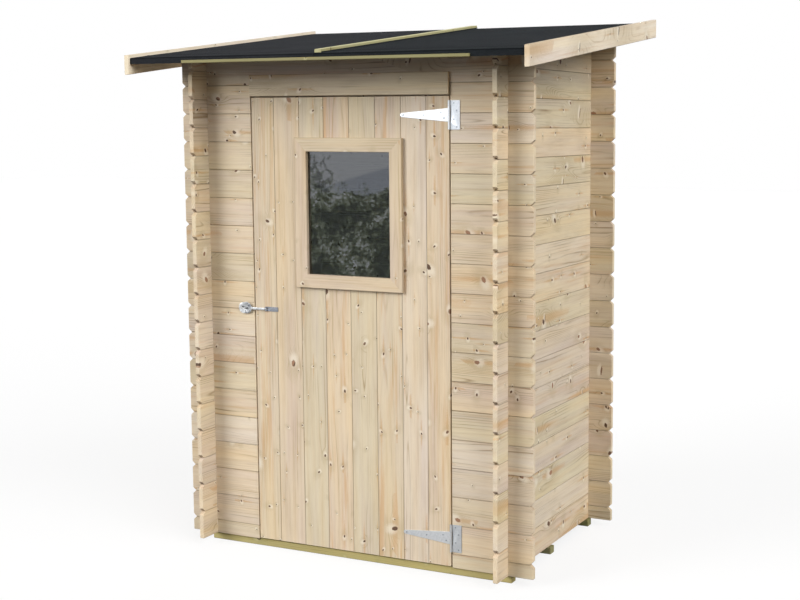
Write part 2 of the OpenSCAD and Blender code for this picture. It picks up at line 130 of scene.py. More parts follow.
def end_stops(length, width, at_end, low_cut, high_cut, edge):
    """Stops near one end. At a distance s from the end the section is clipped by cut - s from below
    and from above, and its depth by edge - s, so all cuts are at 45 degrees."""
    low_cut, high_cut = max(low_cut, edge), max(high_cut, edge)
    marks = {0.0, edge, low_cut, high_cut, max(low_cut - groove[1], 0), high_cut + tongue[1]}
    return [(length - s if at_end else s, low_cut - s, width - high_cut + s, edge - s)
            for s in marks]


def board(origin, along, across, depth, length, width, thick, edge=1.5 * MM, fit=None,
          cuts=((0, 0), (0, 0)), end_edge=1 * MM, notches=(), stops=(), slant=(0, 0), begin=0,
          tone=None):
    """One board: point = origin + u * along + v * across + d * depth, where (v, d) runs round the
    section and u from 0 to length. fit is (tongue, groove). cuts are the (lower, upper) cuts at the
    start and at the end. notches are (u0, u1, low, high): between u0 and u1 only the part from low
    to high is left. stops are further places along u, and slant skews the ends by v * slant."""
    ring = section(width, thick, edge, *(fit or ()))
    rows = end_stops(length, width, False, *cuts[0], end_edge)
    rows += end_stops(length, width, True, *cuts[1], end_edge)
    taken = [r[0] for r in rows]
    rows += [(u, -FREE, width + FREE, 0) for u in stops
             if 0 < u < length and min(abs(u - t) for t in taken) > end_cut]
    for u0, u1, low, high in notches:
        rows = [r for r in rows if not u0 < r[0] < u1]
        rows += [(u0, -FREE, width + FREE, 0), (u0, low, high, 0)]
        rows += [(u1, low, high, 0), (u1, -FREE, width + FREE, 0)]
    rows = np.array(sorted(rows, key=lambda row: row[0]))
    v = np.clip(ring[:, 0], rows[:, 1:2], rows[:, 2:3])
    inset = np.maximum(rows[:, 3:4], 0)
    d = np.clip(ring[:, 1], inset, thick - inset)
    u = rows[:, :1] + v * (slant[0] + (slant[1] - slant[0]) * rows[:, :1] / length)
    along, across, depth = (np.array(axis, float) for axis in (along, across, depth))
    points = np.array(origin) + u[..., None] * along + v[..., None] * across + d[..., None] * depth
    return {
        "points": points, "turned": np.dot(np.cross(depth, across), along) < 0, "tone": tone,
        "grain": np.stack([u + begin, v - width / 2, d], -1),
        "reach": np.stack([u, length - u, np.full(u.shape, width)], -1),
    }


# %% [markdown]
# Every shape here becomes a closed surface in the same way: quads between each ring of points and
# the next, and one flat face over each end. Faces have to point outwards, so the order of their
# corners is reversed where the shape's axes are mirrored.

# %% Faces between rings
def faces_of(stations, count, turned):
    """Quads between rings, and one face over the first and over the last ring."""
    i, j = np.meshgrid(np.arange(stations - 1), np.arange(count), indexing="ij")
    k = (j + 1) % count
    quads = np.stack([i * count + j, i * count + k, (i + 1) * count + k, (i + 1) * count + j], -1)
    faces = quads.reshape(-1, 4).tolist()
    faces += [list(range(count))[::-1], list(range((stations - 1) * count, stations * count))]
    return [face[::-1] for face in faces] if turned else faces


# %% [markdown]
# A finished piece rides on the shed, the door or the hasp, has a slot that names its material, and
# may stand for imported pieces. Its object stays at the origin with its place in the mesh, so that it
# follows its body and its patterns don't slide.

# %% Pieces on their bodies
finish = {}  # the slot of each piece, for the materials further down


def into_scene(name, data):
    """Links a new object with this mesh, lamp or camera."""
    made = bpy.data.objects.new(name, data)
    bpy.context.scene.collection.objects.link(made)
    return made


def place(name, mesh, body, replaces, slot, smooth):
    """Puts a mesh into the scene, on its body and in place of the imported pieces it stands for.
    smooth is the angle up to which edges are shaded soft, or None."""
    mesh.shade_flat()
    if smooth is not None:
        mesh.shade_smooth()
        mesh.set_sharp_from_angle(angle=math.radians(smooth))
    made = into_scene(name, mesh)
    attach(made, body)
    if replaces:
        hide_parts(*replaces)
    finish[name] = slot
    print(f"{name}: {len(mesh.polygons)} faces")
    return made


def piece(name, points, faces, body, replaces, slot, smooth=None, **attributes):
    """A piece from points and faces. Points that fall together are merged, so that clipped sections
    leave no faces without area."""
    mesh = bpy.data.meshes.new(name)
    mesh.from_pydata(points.tolist(), [], faces)
    for key, values in attributes.items():
        layer = mesh.attributes.new(key, "FLOAT_VECTOR", "POINT")
        layer.data.foreach_set("vector", np.ascontiguousarray(values, np.float32).ravel())
    work = bmesh.new()
    work.from_mesh(mesh)
    bmesh.ops.remove_doubles(work, verts=work.verts, dist=0.01 * MM)
    bmesh.ops.dissolve_degenerate(work, edges=work.edges, dist=0.005 * MM)
    work.to_mesh(mesh)
    work.free()
    return place(name, mesh, body, replaces, slot, smooth)


# %% [markdown]
# Every board also carries three attributes for its material. "grain" holds the place along, across
# and through the board, so that the year rings run with the wood and come out at its ends as arcs.
# "reach" holds the distances to both ends and the width, which tells how near an edge is. "tone"
# holds three chance numbers, which make each board look cut from another tree.

# %% Join boards into one piece
rng = np.random.default_rng(26)


def boards_piece(name, boards, body="shed", replaces=(), slot="raw_wood", trim=None):
    """One object from many boards. trim may move all points, such as down to the roof's slope."""
    points, grain, reach, tone, faces, first = [], [], [], [], [], 0
    for one in boards:
        stations, count = one["points"].shape[:2]
        faces += [[first + k for k in f] for f in faces_of(stations, count, one["turned"])]
        first += stations * count
        points.append(one["points"].reshape(-1, 3))
        grain.append(one["grain"].reshape(-1, 3))
        reach.append(one["reach"].reshape(-1, 3))
        own = rng.random(3) if one["tone"] is None else one["tone"]
        tone.append(np.tile(own, (stations * count, 1)))
    points = np.concatenate(points)
    if trim is not None:
        points = trim(points)
    return piece(name, points, faces, body, replaces, slot, grain=np.concatenate(grain),
                 reach=np.concatenate(reach), tone=np.concatenate(tone))


def under_roof(points):
    """Boards are sawn off along the roof: no point stays above its slope."""
    points[:, 2] = np.minimum(points[:, 2], roof_z(points[:, 1]))
    return points


# %% [markdown]
# ## Walls
# Each wall is a stack of tongued boards. Front and back start with half a board and the sides with a
# whole one, so at the corners every board sits in a notch of the boards that it crosses. Both ends
# of a board are cut back at its joints, which draws the row of V shapes down each corner.

# %% One wall
wall_edge = 1.6 * MM  # bevel along the board's long edges
notch_play = 0.5 * MM
thinnest = 2 * MM  # a gable board starts where the roof leaves it this much height


def joints(offset, top):
    """Heights of a wall's joints, from its foot up to the first one that reaches the height top."""
    count = math.ceil((top - wall_z - hair) / course - offset) + 1
    heights = wall_z + (np.arange(count) + offset) * course
    return np.concatenate([[wall_z], heights[heights > wall_z + hair]])


def wall(name, replaces, origin, along, depth, length, heights, crossings, cut_ends=(True, True)):
    """A stack of boards between the given heights. Where another wall crosses it, a quarter of a
    course is taken off the top and the bottom of each board. Boards in a gable start where the roof
    leaves them thin, and have stops where the roof's slope meets their edges."""
    boards = []
    for z0, z1 in zip(heights[:-1], heights[1:]):
        lowest = z0 < wall_z + hair
        low = z0 if lowest else z0 + board_gap / 2
        width = z1 - board_gap / 2 - low
        half = z1 - z0 < 0.9 * course
        neck = (-FREE if half else z0 + course / 4 - low, z1 - course / 4 - low)
        slope = along[1] * roof_rise
        rise_to = np.array([thinnest, wall_edge, groove[1], width - wall_edge, width,
                            width + tongue[1]])
        stops = (low + rise_to - roof_z(origin[1])) / slope if slope else np.zeros(1)
        skip = max(stops[0], 0)
        low_cut = 0 if lowest else end_cut
        cuts = [(low_cut, end_cut) if cut else (0, 0) for cut in cut_ends]
        boards.append(board(
            (origin[0], origin[1] + skip, low), along, UP, depth, length - skip, width, board_t,
            edge=wall_edge, fit=(tongue, no_groove if lowest else groove), end_edge=1.2 * MM,
            cuts=((0, 0) if skip else cuts[0], cuts[1]), stops=stops - skip, begin=skip,
            notches=[(u - notch_play - skip, u + board_t + notch_play - skip, *neck)
                     for u in crossings if u > skip],
        ))
    return boards_piece(name, boards, replaces=replaces, trim=under_roof)


# %% [markdown]
# The doorway splits the front into boards that end at it, left and right, and one long board over
# it. Each call says where a wall starts, which way it runs and faces, how long it is, where its
# joints lie, and how far along it other walls cross.

# %% Put up the walls
cross_heights = joints(0.5, back_high[2])
beside_door = cross_heights[cross_heights < over_low[2] + hair]
above_door = beside_door[-1] + np.array([0, course])
side_heights = joints(0, side_high[2])
start_x = left_low[0]
both_sides = [-half_w - start_x, half_w - board_t - start_x]
both_ends = [front_y - side_low[1], back_y - board_t - side_low[1]]

wall("front_boards_left", ["front_wall_left"], (start_x, front_y), X, Y, left_high[0] - start_x,
     beside_door, both_sides[:1], (True, False))
wall("front_boards_right", ["front_wall_right"], (right_low[0], front_y), X, Y,
     right_high[0] - right_low[0], beside_door, [half_w - board_t - right_low[0]], (False, True))
wall("front_board_top", ["front_wall_over_door"], (start_x, front_y), X, Y,
     right_high[0] - start_x, above_door, both_sides)
wall("back_boards", ["back_wall"], (start_x, back_y), X, -Y, right_high[0] - start_x,
     cross_heights, both_sides)
wall("side_boards_right", ["side_wall_right"], (half_w, side_low[1]), Y, -X,
     side_high[1] - side_low[1], side_heights, both_ends)
wall("side_boards_left", ["side_wall_left"], (-half_w, side_low[1]), Y, X,
     side_high[1] - side_low[1], side_heights, both_ends)

# %% [markdown]
# ## Frame, floor and roof boards
# Posts, battens, bearers and the like are single planed bars, so each is read straight from its
# packed box. Those that lie on the roof lean with it: their Y direction climbs by the roof's rise,
# and that climb is taken off the height of their box. Which way a bar is wide matters for its
# grain, so the bearers are laid with their ring lines and knots on the face that shows.

# %% Bars
def bar(node, long, wide, sloped=False, **details):
    """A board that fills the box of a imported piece. long and wide are axis numbers: 0 is X."""
    low, high = span(node)
    size, axes = high - low, np.eye(3)
    if sloped:
        axes[1] = (0, 1, roof_rise)
        size[2] -= size[1] * roof_rise
    deep = 3 - long - wide
    return board(low, axes[long], axes[wide], axes[deep], size[long], size[wide], size[deep],
                 **details)


def strips(node, count, sloped=False):
    """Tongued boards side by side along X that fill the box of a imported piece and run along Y."""
    low, high = span(node)
    size, climb = high - low, roof_rise if sloped else 0
    pitch, gap = size[0] / count, 0.8 * MM
    fits = [(tongue, no_groove)] + [(tongue, groove)] * (count - 2) + [(no_tongue, groove)]
    return [board(low + X * (i * pitch + gap / 2), (0, 1, climb), X, UP, size[1], pitch - gap,
                  size[2] - size[1] * climb, fit=fit) for i, fit in enumerate(fits)]


def bar_piece(name, node, long, wide, body="shed", slot="raw_wood", trim=None, **details):
    """A piece of one bar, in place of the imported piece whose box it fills."""
    return boards_piece(name, [bar(node, long, wide, **details)], body, [node], slot, trim)


# %% [markdown]
# Inside the doorway two posts and a batten hold the cut wall boards. Bearers and battens that meet
# the ground or the rain are of treated wood. The bearers have more rounded edges than planed boards.

# %% Posts, roof, floor and bearers
for side in ("left", "right"):
    bar_piece(f"post_{side}", f"door_post_{side}", 2, 0, trim=under_roof)
    bar_piece(f"barge_{side}", f"barge_board_{side}", 1, 2, sloped=True, edge=2 * MM)
    boards_piece(f"deck_{side}", strips(f"roof_boards_{side}", 9, sloped=True),
                 replaces=[f"roof_boards_{side}"])
bar_piece("head_batten", "door_head_batten", 0, 2)
bar_piece("head_board", "door_head_board", 0, 2)
bar_piece("purlin_beam", "purlin", 0, 1, sloped=True)
boards_piece("floor", strips("floor_boards", 14), replaces=["floor_boards"])
for row in ("front", "middle", "back"):
    bar_piece(f"runner_{row}", f"bearer_{row}", 0, 2, slot="treated_wood", edge=2.5 * MM)
for row in ("front", "back"):
    bar_piece(f"felt_batten_{row}", f"eaves_batten_{row}", 0, 2, slot="treated_wood")
bar_piece("seam_batten", "roof_seam_batten", 1, 0, slot="treated_wood", sloped=True)

# %% [markdown]
# ## Door
# The leaf is eight tongued boards of slightly different widths. Each board's wood is chosen, not
# left to chance, because the eye goes to the door first, and the two parts of a board that the
# window cuts have to look like one.

# %% One door board
leaf_low, leaf_high = span("door_boards_left")[0], span("door_boards_right")[1]
hole_low, hole_high = span("window_beads")
leaf = leaf_high - leaf_low
widths = np.array((104, 117, 112, 114, 115, 113, 108, 97.0))
door_x = leaf_low[0] + np.concatenate([[0], np.cumsum(widths)]) * leaf[0] / widths.sum()
door_gap = 0.5 * MM
last = len(widths) - 1
tints_of = [0.30, 0.55, 0.42, 0.16, 0.38, 0.50, 0.97, 0.24]
resin_of = [0.80, 0.37, 0.45, 0.93, 0.30, 0.86, 0.15, 0.77]


def door_board(index, z0, z1, notches=()):
    """Part of one upright door board, from height z0 to z1, always with the same wood. The first
    board has no groove and the last one no tongue, because nothing joins them there."""
    x0, x1 = door_x[index] + door_gap / 2, door_x[index + 1] - door_gap / 2
    fit = ((5 * MM, 0 if index == last else 6 * MM), (6 * MM, 0 if index == 0 else 8 * MM))
    own = (tints_of[index], 0.07 + 0.115 * index, resin_of[index])
    return board((x0, leaf_low[1], z0), UP, X, Y, z1 - z0, x1 - x0, leaf[1], edge=1.1 * MM,
                 fit=fit, notches=notches, begin=z0, tone=own)


# %% [markdown]
# Boards clear of the window run from foot to head. Those behind it are cut in two, and those that
# it reaches halfway keep the strip beside it.

# %% Door leaf
z_low, z_high = leaf_low[2], leaf_high[2]
hole = (hole_low[2] - z_low, hole_high[2] - z_low)
boards = []
for i, (x0, x1) in enumerate(zip(door_x[:-1], door_x[1:])):
    if x1 < hole_low[0] or x0 > hole_high[0]:
        boards += [door_board(i, z_low, z_high)]
    elif x0 > hole_low[0] and x1 < hole_high[0]:
        boards += [door_board(i, z_low, hole_low[2]), door_board(i, hole_high[2], z_high)]
    elif x0 < hole_low[0]:
        boards += [door_board(i, z_low, z_high, [(*hole, -FREE, hole_low[0] - x0)])]
    else:
        boards += [door_board(i, z_low, z_high, [(*hole, hole_high[0] - x0, FREE)])]
parts = [f"door_boards_{part}" for part in ("left", "right", "over_window", "under_window")]
boards_piece("leaf", boards, "door", parts, "door_wood")

# %% [markdown]
# On the inside, three ledges hold the boards together, and a brace that climbs away from the hinges
# keeps the leaf from sagging. The ledges fill their packed boxes. The brace can't be read from a
# box, because it lies at an angle, so it is drawn from corner to corner between two ledges.

# %% Ledges and brace
for part in ("top", "middle", "bottom"):
    bar_piece(f"ledge_{part}", f"door_ledge_{part}", 0, 2, "door")
foot_low, foot_high = span("door_ledge_bottom")
head_low = span("door_ledge_middle")[0]
brace_w = foot_high[2] - foot_low[2]
start = np.array((foot_high[0] - brace_w, head_low[1], foot_high[2]))
run = head_low - start
length = np.linalg.norm(run)
brace = board(start, run / length, X, Y, length, brace_w, foot_high[1] - head_low[1])
boards_piece("brace", [brace], "door", ["door_brace"])

# %% [markdown]
# The window's trim is four flat strips outside the leaf, mitred like a picture frame, and smaller
# beads in the hole hold the pane. A mitre is a slant of the board's ends: a slant of 1 moves each
# point along by its distance across.

# %% Window trim and inner beads
def mitred(low, high, width, **details):
    """Four strips round the rectangle between two corners, mitred where they meet. Their tints lie
    close together, as from one length of moulding."""
    size, thick = high - low, high[1] - low[1]
    corners = {
        "bottom": (low, X, UP, size[0]),
        "top": (low + UP * size[2], X, -UP, size[0]),
        "left": (low, UP, X, size[2]),
        "right": (low + X * size[0], UP, -X, size[2]),
    }
    return {part: board(origin, along, across, Y, length, width, thick, slant=(1, -1),
                        tone=(0.18 + 0.1 * rng.random(), rng.random(), rng.random()), **details)
            for part, (origin, along, across, length) in corners.items()}


trim_low, trim_high = span("window_trim_left")[0], span("window_trim_right")[1]
trim_w = span("window_trim_left")[1][0] - trim_low[0]
trim = mitred(trim_low, trim_high, trim_w, edge=1.5 * MM, end_edge=0.3 * MM)
for part, strip in trim.items():
    boards_piece(f"trim_{part}", [strip], "door", [f"window_trim_{part}"])
rebate = span("window_trim_left")[1][0] - hole_low[0]
beads = mitred(hole_low, hole_high, rebate, edge=2.5 * MM, end_edge=0.3 * MM)
boards_piece("glazing_beads", list(beads.values()), "door", ["window_beads"])

# %% [markdown]
# ## Roofing felt
# Felt is a limp sheet that takes the shape of the boards under it. It runs over the roof, turns down
# round its front and back edge, and never lies quite flat. A cloth simulation would give folds that
# nailed felt doesn't have. So each half is a thin closed shell: one path over the roof, drawn once
# for the upper and once for the lower face, and carried across.

# %% Path over the roof
flap_below = 1 * MM  # how far the flaps hang below the roof boards
fold_r = 5 * MM
fine = 0.16  # the stops lie closer this far in from both edges


def felt_path(y0, y1, top, r):
    """Points (y, height above the boards' lower face): up the front flap, round its fold of radius
    r, over the roof at the height top, round the back fold and down the back flap."""
    turn = np.radians(np.arange(0, 91, 15))
    run = np.concatenate([np.linspace(y0 + r, y0 + fine, 32)[1:-1],
                          np.linspace(y0 + fine, y1 - fine, 44),
                          np.linspace(y1 - fine, y1 - r, 24)[1:-1]])
    flap = np.linspace(-flap_below, top - r, 6)[:-1]
    y = np.concatenate([np.full(5, y0), y0 + r - r * np.cos(turn), run,
                        y1 - r + r * np.sin(turn), np.full(5, y1)])
    h = np.concatenate([flap, top - r + r * np.sin(turn), np.full(len(run), top),
                        top - r + r * np.cos(turn), flap[::-1]])
    return y, h


# %% [markdown]
# Felt comes in a roll, so it keeps slow waves and a crease or two. Each crease is a low ridge on a
# slightly bent line. Both fade out towards the folds, where nails pull the felt flat.

# %% Waves and creases
calm = 0.05  # the waves fade out this far from both edges


def swelling(x, y, low, high, shift):
    """Height w(x, y), a sum of low waves and two creases exp(-(distance / width) squared), up to
    about 2 mm, and the creases alone."""
    fade = np.clip((y - low) / calm, 0, 1) * np.clip((high - y) / calm, 0, 1)
    wave = 0.6 * np.sin(x * 9 + 2 * y) * np.sin(y * 7 + 1.3 + x)
    wave += 0.4 * np.sin(x * 23 - y * 5 + shift * 9) * np.sin(y * 17 + 3 * x)
    crease = np.exp(-((y - low - 0.105 - 0.004 * np.sin(x * 6)) / 0.006) ** 2)
    crease += 0.6 * np.exp(-((y - low - 0.36 - 0.01 * x) / 0.008) ** 2)
    return (0.5 + 0.45 * wave) * fade * MM + 1.1 * MM * crease * fade, crease * fade


# %% [markdown]
# The shell runs up one face and back down the other, so it is closed all round. A "fold" attribute
# tells the material where the felt is bent and where it is creased, and there it is darkened as
# painted shade.

# %% Felt
def felt(name, node, tone):
    """A shell from an upper and a lower path along Y. tone sets its colour and shifts its waves."""
    low, high = span(node)
    deck_low, deck_high = span(node.replace("felt", "boards"))
    skin = deck_low[1] - low[1]
    full = deck_high[2] - roof_z(deck_high[1]) + skin
    rows, folds = [], []
    for inside, upper in ((0.0, 1), (skin - 0.4 * MM, 0)):
        top = full - inside
        y, h = felt_path(low[1] + inside, high[1] - inside, top, fold_r - inside)
        y, h, x = np.broadcast_arrays(y, h, np.linspace(low[0], high[0], 120)[:, None])
        swell, crease = swelling(x, y, low[1], high[1], tone)
        rows.append(np.stack([x, y, roof_z(y) + h + upper * swell], -1))
        # fold and crease mark where the material paints shade along the bends and creases.
        fold = np.exp(-((h - top + 2 * MM) / (2 * MM)) ** 2)
        fold = fold * np.exp(-(np.minimum(y - low[1], high[1] - y) / (15 * MM)) ** 2)
        folds.append(np.stack([fold, crease, 0 * fold], -1))
    loop = np.concatenate([rows[0], rows[1][:, ::-1]], 1)
    folds = np.concatenate([folds[0], folds[1][:, ::-1]], 1)
    stations, count = loop.shape[:2]
    return piece(name, loop.reshape(-1, 3), faces_of(stations, count, True), "shed", [node],
                 "roofing_felt", 35, grain=loop[..., [1, 0, 2]].reshape(-1, 3),
                 fold=folds.reshape(-1, 3), tone=np.full((stations * count, 3), tone))


# The left half has the lighter tone, as painted light for the light it catches.
felt("felt_left", "roof_felt_left", 0.8)
felt("felt_right", "roof_felt_right", 0.3)

# %% [markdown]
# The two halves meet under a batten, and each is turned up a little against it. That lip is too
# small for the shell's even stops, so it is a thin strip of its own on either side of the batten.

# %% Felt turned up beside the seam batten
lip_t, lip_h = 1.6 * MM, 4 * MM
seam_low, seam_high = span("roof_seam_batten")
felt_high = span("roof_felt_left")[1]
seam_z = roof_z(seam_low[1]) + felt_high[2] - roof_z(felt_high[1])
for side, x in (("left", seam_low[0] - lip_t), ("right", seam_high[0])):
    boards_piece(f"felt_lip_{side}", [board(
        (x, seam_low[1], seam_z), (0, 1, roof_rise), X, UP, seam_high[1] - seam_low[1], lip_t, lip_h,
        edge=0.3 * MM, end_edge=0.3 * MM, tone=(0.5, 0.5, 0.5),
    )], slot="roofing_felt")

# %% [markdown]
# ## Fittings
# The hinges and the hasp are stamped from galvanised sheet, so their edges are slightly rounded.
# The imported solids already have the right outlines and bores. A merged copy of each gets its sharp
# edges rounded, where a new model would only repeat the same shape.

# %% Stamped steel
def stamped(name, node, body, width):
    """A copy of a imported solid: equal points merged, flat triangles joined, sharp edges rounded."""
    sharp_from, soft_up_to = 0.6, 24  # radians and degrees between faces
    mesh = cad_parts[node].data.copy()
    mesh.materials.clear()
    work = bmesh.new()
    work.from_mesh(mesh)
    bmesh.ops.remove_doubles(work, verts=work.verts, dist=0.002 * MM)
    bmesh.ops.dissolve_limit(work, angle_limit=math.radians(0.5), verts=work.verts, edges=work.edges)
    sharp = [e for e in work.edges if len(e.link_faces) == 2 and e.calc_face_angle() > sharp_from]
    bmesh.ops.bevel(work, geom=sharp, offset=width, segments=2, profile=0.6, affect="EDGES",
                    clamp_overlap=True)
    work.to_mesh(mesh)
    work.free()
    return place(name, mesh, body, [node], "galvanised_steel", soft_up_to)


for level in ("top", "bottom"):
    stamped(f"hinge_leaf_{level}", f"hinge_plate_{level}", "shed", 0.4 * MM)
    stamped(f"hinge_arm_{level}", f"hinge_strap_{level}", "door", 0.4 * MM)
stamped("hasp_base", "hasp_plate", "door", 0.3 * MM)
stamped("hasp_arm", "hasp", "hasp", 0.3 * MM)
stamped("staple", "hasp_staple", "shed", 0.2 * MM)

# %% [markdown]
# A screw head is a low dome with a recess, a few millimetres wide, and there are dozens. So a small
# profile is turned in twelve steps, and all heads of one kind are one piece.

# %% Screw heads
def screws(name, body, places, toward, radius=3.3 * MM):
    """Screws with low heads. Each is a profile of (radius, height) turned about the direction
    toward: point = place + toward * h + r * (side * cos + other * sin)."""
    places, toward = np.array(places, float).reshape(-1, 3), np.array(toward, float)
    side = X if abs(toward[0]) < 0.5 else Y
    other = np.cross(toward, side)
    profile = radius * np.array([(0, -0.2), (1, -0.2), (1, 0.06), (0.86, 0.2), (0.5, 0.26),
                                 (0.36, 0.25), (0.3, 0.05), (0, 0.05)])
    turn = np.radians(np.arange(0, 360, 30))
    around = np.cos(turn)[:, None] * side + np.sin(turn)[:, None] * other
    ring = profile[:, 1, None, None] * toward + profile[:, 0, None, None] * around
    points = places[:, None, None] + ring
    stations, count = ring.shape[:2]
    mirrored = np.dot(np.cross(side, other), toward) <= 0
    faces = [[k * stations * count + i for i in face]
             for k in range(len(places)) for face in faces_of(stations, count, mirrored)]
    return piece(name, points.reshape(-1, 3), faces, body, (), "galvanised_steel", 35)


# %% [markdown]
# The screws sit where the fittings have their holes, and on each door board there are two for every
# ledge. Places are counted in millimetres from the pin of a hinge, the end of the hasp's plate, the
# middle of the round plate, and the middle of board and ledge.

# %% Places of the screws
PLATE_HOLES = ((17.5, 44), (30, 16.4), (17.5, -16.4), (30, -43.6))
STRAP_HOLES = ((36, 9.5), (23, -11.5), (107.5, 0), (195, 0))
HASP_HOLES = (9, 33)
ROSE_HOLES = [(x, z) for x in (-11, 11) for z in (-13, 13)]
LEDGE_HOLES = ((-18, 22), (18, -22))
pin_x = span("hinge_plate_top")[0][0] + 5 * MM  # middle of the hinge's pin
hinge_t, hasp_t, rose_t = 2.5 * MM, 2 * MM, 1.5 * MM  # thickness of the sheet


def middle_z(node):
    """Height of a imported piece's middle."""
    low, high = span(node)
    return (low[2] + high[2]) / 2


shed_screws, door_screws, ledge_screws = [], [], []
for level in ("top", "bottom"):
    z = middle_z(f"hinge_plate_{level}")
    shed_screws += [(pin_x + dx * MM, front_y - hinge_t, z + dz * MM) for dx, dz in PLATE_HOLES]
    door_screws += [(pin_x - dx * MM, front_y - hinge_t, z + dz * MM) for dx, dz in STRAP_HOLES]
hasp_end, z = span("hasp_plate")[1][0], middle_z("hasp_plate")
door_screws += [(hasp_end - dx * MM, front_y - hasp_t, z) for dx in HASP_HOLES]
rose_x, _, rose_z = sum(span("hasp_staple")) / 2
rose_screws = [(rose_x + dx * MM, front_y - rose_t, rose_z + dz * MM) for dx, dz in ROSE_HOLES]
ledge_end = 0.03  # the ledges stop this far inside the leaf
for part in ("top", "middle", "bottom"):
    z = middle_z(f"door_ledge_{part}")
    for x0, x1 in zip(np.maximum(door_x[:-1], leaf_low[0] + ledge_end),
                      np.minimum(door_x[1:], leaf_high[0] - ledge_end)):
        ledge_screws += [((x0 + x1) / 2 + dx * MM, foot_high[1], z + dz * MM)
                         for dx, dz in LEDGE_HOLES]
screws("screws_shed", "shed", shed_screws, -Y)
screws("screws_door", "door", door_screws, -Y)
screws("screws_rose", "shed", rose_screws, -Y, 2.4 * MM)
screws("screws_ledges", "door", ledge_screws, Y, 3.4 * MM)

# %% [markdown]
# ## Finishes
# All materials are node graphs on real distances, so they show the same detail at any zoom and in
# any pose. Colours are written as on the screen. One helper adds any shader node.

# %% Node helper and colours
def linear(code):
    """A colour written as on the screen, such as #e2cda8, as the linear colour that shaders use."""
    parts = [int(code[i:i + 2], 16) / 255 for i in (1, 3, 5)]
    return (*(c / 12.92 if c <= 0.04045 else ((c + 0.055) / 1.055) ** 2.4 for c in parts), 1.0)


def plug(node, inputs):
    """Fills inputs, given as a list or as {number or name: value}. Each is a plain value, a socket,
    or a node, whose first output is then used."""
    for key, value in inputs.items() if isinstance(inputs, dict) else enumerate(inputs):
        if isinstance(value, bpy.types.Node):
            value = value.outputs[0]
        if isinstance(value, bpy.types.NodeSocket):
            node.id_data.links.new(value, node.inputs[key])
        else:
            node.inputs[key].default_value = value


def add(tree, kind, inputs=(), stops=(), **settings):
    """Adds a shader node and returns it. kind may say what it does too, as in Math.ADD or Mix.RGBA,
    which takes its colours in inputs 6 and 7 and gives them in output 2. stops are the (position,
    colour) pairs of a ramp, both ends first."""
    kind, _, choice = kind.partition(".")
    made = tree.nodes.new("ShaderNode" + kind)
    if choice:
        setattr(made, "data_type" if kind == "Mix" else "operation", choice)
    for key, value in settings.items():
        setattr(made, key, value)
    plug(made, inputs)
    for index, (position, code) in enumerate(stops):
        points = made.color_ramp.elements
        point = points[index] if index < 2 else points.new(position)
        point.position, point.color = position, linear(code)
    return made


def new_material(name):
    """An empty material with a principled shader. Returns its tree, the shader and the material."""
    made = bpy.data.materials.new(name)
    made.use_nodes = True
    shader = made.node_tree.nodes["Principled BSDF"]
    return made.node_tree, shader, made


# %% [markdown]
# ### Wood
# What makes planed spruce look like spruce is the way its year rings are cut. A saw takes a board
# out of a log some way from its middle, so the ring that a point lies in is its distance from that
# middle. Branches push the rings aside and show as knots. All this is one sum: distance from the
# log's middle, plus a slow wander, plus a bump around each knot. Its fraction after division by the
# ring width gives the lines. A picture of wood grain would repeat and slide over the edges.

# %% Places along the grain
def oval(tree, away, radius, stretch, shift=0.0, ragged=None):
    """How many radii a point lies from a middle, in an ellipse with the given stretch that is
    shifted by so many radii. ragged multiplies it, which frays the edge."""
    move = add(tree, "CombineXYZ", [add(tree, "Math.MULTIPLY", [radius, shift])])
    far = add(tree, "VectorMath.ADD", [away, move])
    far = add(tree, "VectorMath.MULTIPLY", [far, stretch])
    far = add(tree, "VectorMath.LENGTH", [far]).outputs["Value"]
    far = add(tree, "Math.DIVIDE", [far, radius])
    return add(tree, "Math.MULTIPLY", [far, ragged or 1.0])


def along_grain(tree, here, scale, detail=3, rough=0.55):
    """Noise that is drawn out along the board: scale gives its cells per metre each way."""
    drawn_out = add(tree, "VectorMath.MULTIPLY", [here, scale])
    return add(tree, "TexNoise",
               {"Vector": drawn_out, "Scale": 1, "Detail": detail, "Roughness": rough})
